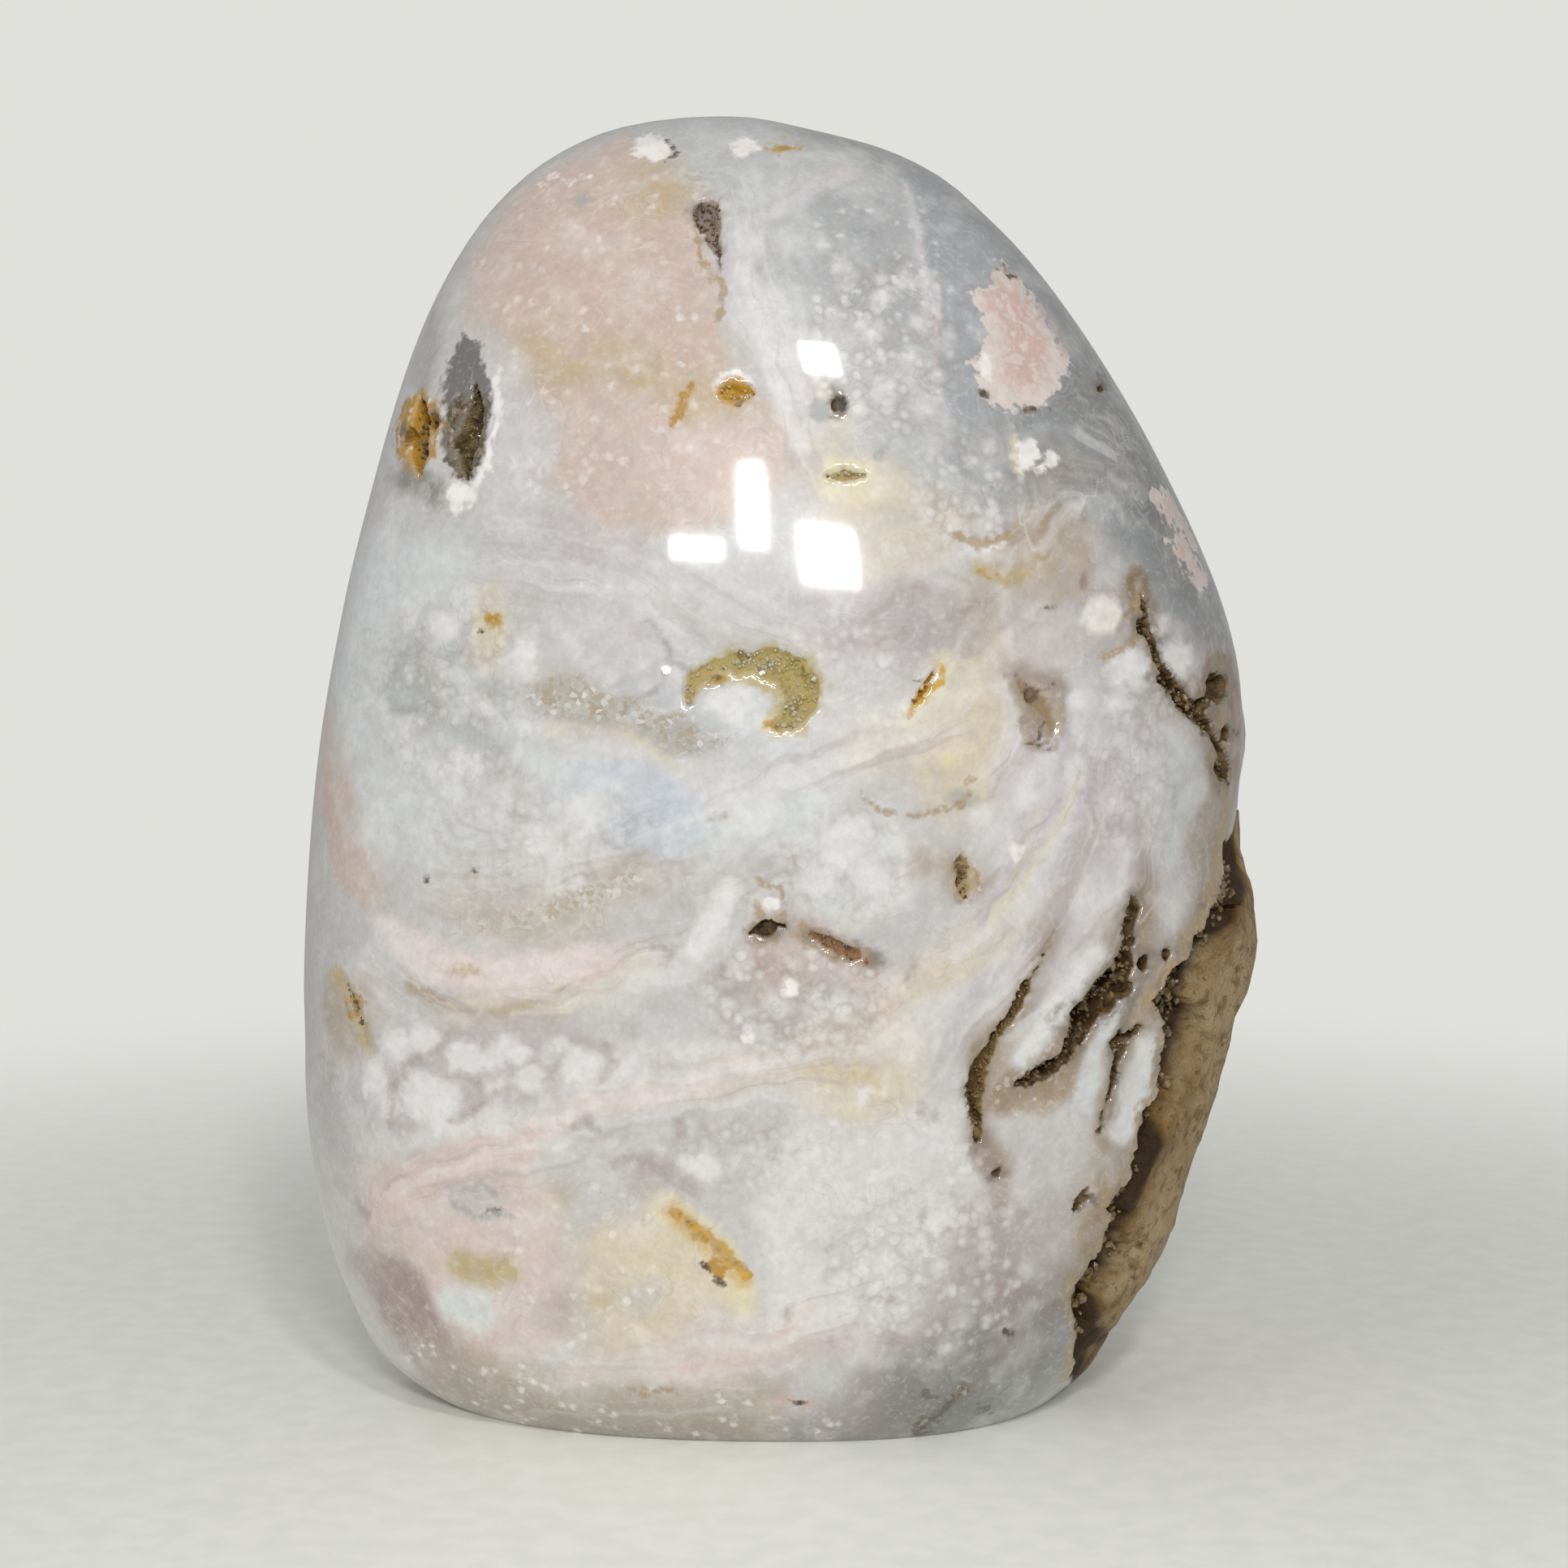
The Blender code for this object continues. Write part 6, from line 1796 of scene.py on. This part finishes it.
def make_world():
    world = bpy.data.worlds.new("pale_room")
    world.use_nodes = True
    nodes = world.node_tree.nodes
    links = world.node_tree.links
    seen = nodes["Background"]
    seen.inputs["Color"].default_value = (*linear(ROOM_TONE), 1.0)
    seen.inputs["Strength"].default_value = 1.0
    lit = nodes.new("ShaderNodeBackground")
    lit.inputs["Color"].default_value = (1.0, 1.0, 1.0, 1.0)
    lit.inputs["Strength"].default_value = ROOM_LIGHT
    path = nodes.new("ShaderNodeLightPath")
    both = nodes.new("ShaderNodeMixShader")
    links.new(path.outputs["Is Camera Ray"], both.inputs[0])
    links.new(lit.outputs[0], both.inputs[1])
    links.new(seen.outputs[0], both.inputs[2])
    links.new(both.outputs[0], nodes["World Output"].inputs["Surface"])
    bpy.context.scene.world = world


def make_floor():
    """A plain pale floor that fades into the pale room further out."""
    mesh = bpy.data.meshes.new("floor")
    turns = np.arange(FLOOR_SIDES) * math.tau / FLOOR_SIDES
    rim = [(FLOOR_RADIUS * math.cos(turn), FLOOR_RADIUS * math.sin(turn), 0.0) for turn in turns]
    mesh.from_pydata(rim, [], [range(FLOOR_SIDES)])
    floor = bpy.data.objects.new("floor", mesh)
    bpy.context.scene.collection.objects.link(floor)
    g = Graph("pale_floor")
    mesh.materials.append(g.material)
    place = g.add("ShaderNodeTexCoord").outputs["Object"]
    marks = g.ramp(g.noise(place, 0.004, 5.0), 0.35, 0.65)
    g.set(g.shader.inputs["Base Color"], g.mix(marks, (*linear(FLOOR_TONES[0]), 1.0),
                                               (*linear(FLOOR_TONES[1]), 1.0)))
    g.shader.inputs["Roughness"].default_value = 0.7
    away = g.add("ShaderNodeVectorMath", operation="LENGTH")
    g.set(away.inputs[0], place)
    clear = g.add("ShaderNodeBsdfTransparent")
    both = g.add("ShaderNodeMixShader", {0: g.ramp(away.outputs["Value"], *FLOOR_FADE)})
    g.set(both.inputs[1], g.shader.outputs[0])
    g.set(both.inputs[2], clear.outputs[0])
    g.set(g.tree.nodes["Material Output"].inputs["Surface"], both.outputs[0])


def make_camera():
    data = bpy.data.cameras.new("camera")
    data.sensor_width = SENSOR
    data.lens = SENSOR * FOCAL / IMAGE
    data.clip_start = 0.01
    camera = bpy.data.objects.new("camera", data)
    camera.location = CAMERA_PLACE
    camera.rotation_euler = (math.pi / 2 - CAMERA_PITCH, 0.0, 0.0)
    bpy.context.scene.collection.objects.link(camera)
    bpy.context.scene.camera = camera


make_crusts(*make_stone())
make_floor()
make_world()
add_highlights()
add_side_light()
make_camera()
bpy.context.scene.view_settings.view_transform = "Standard"
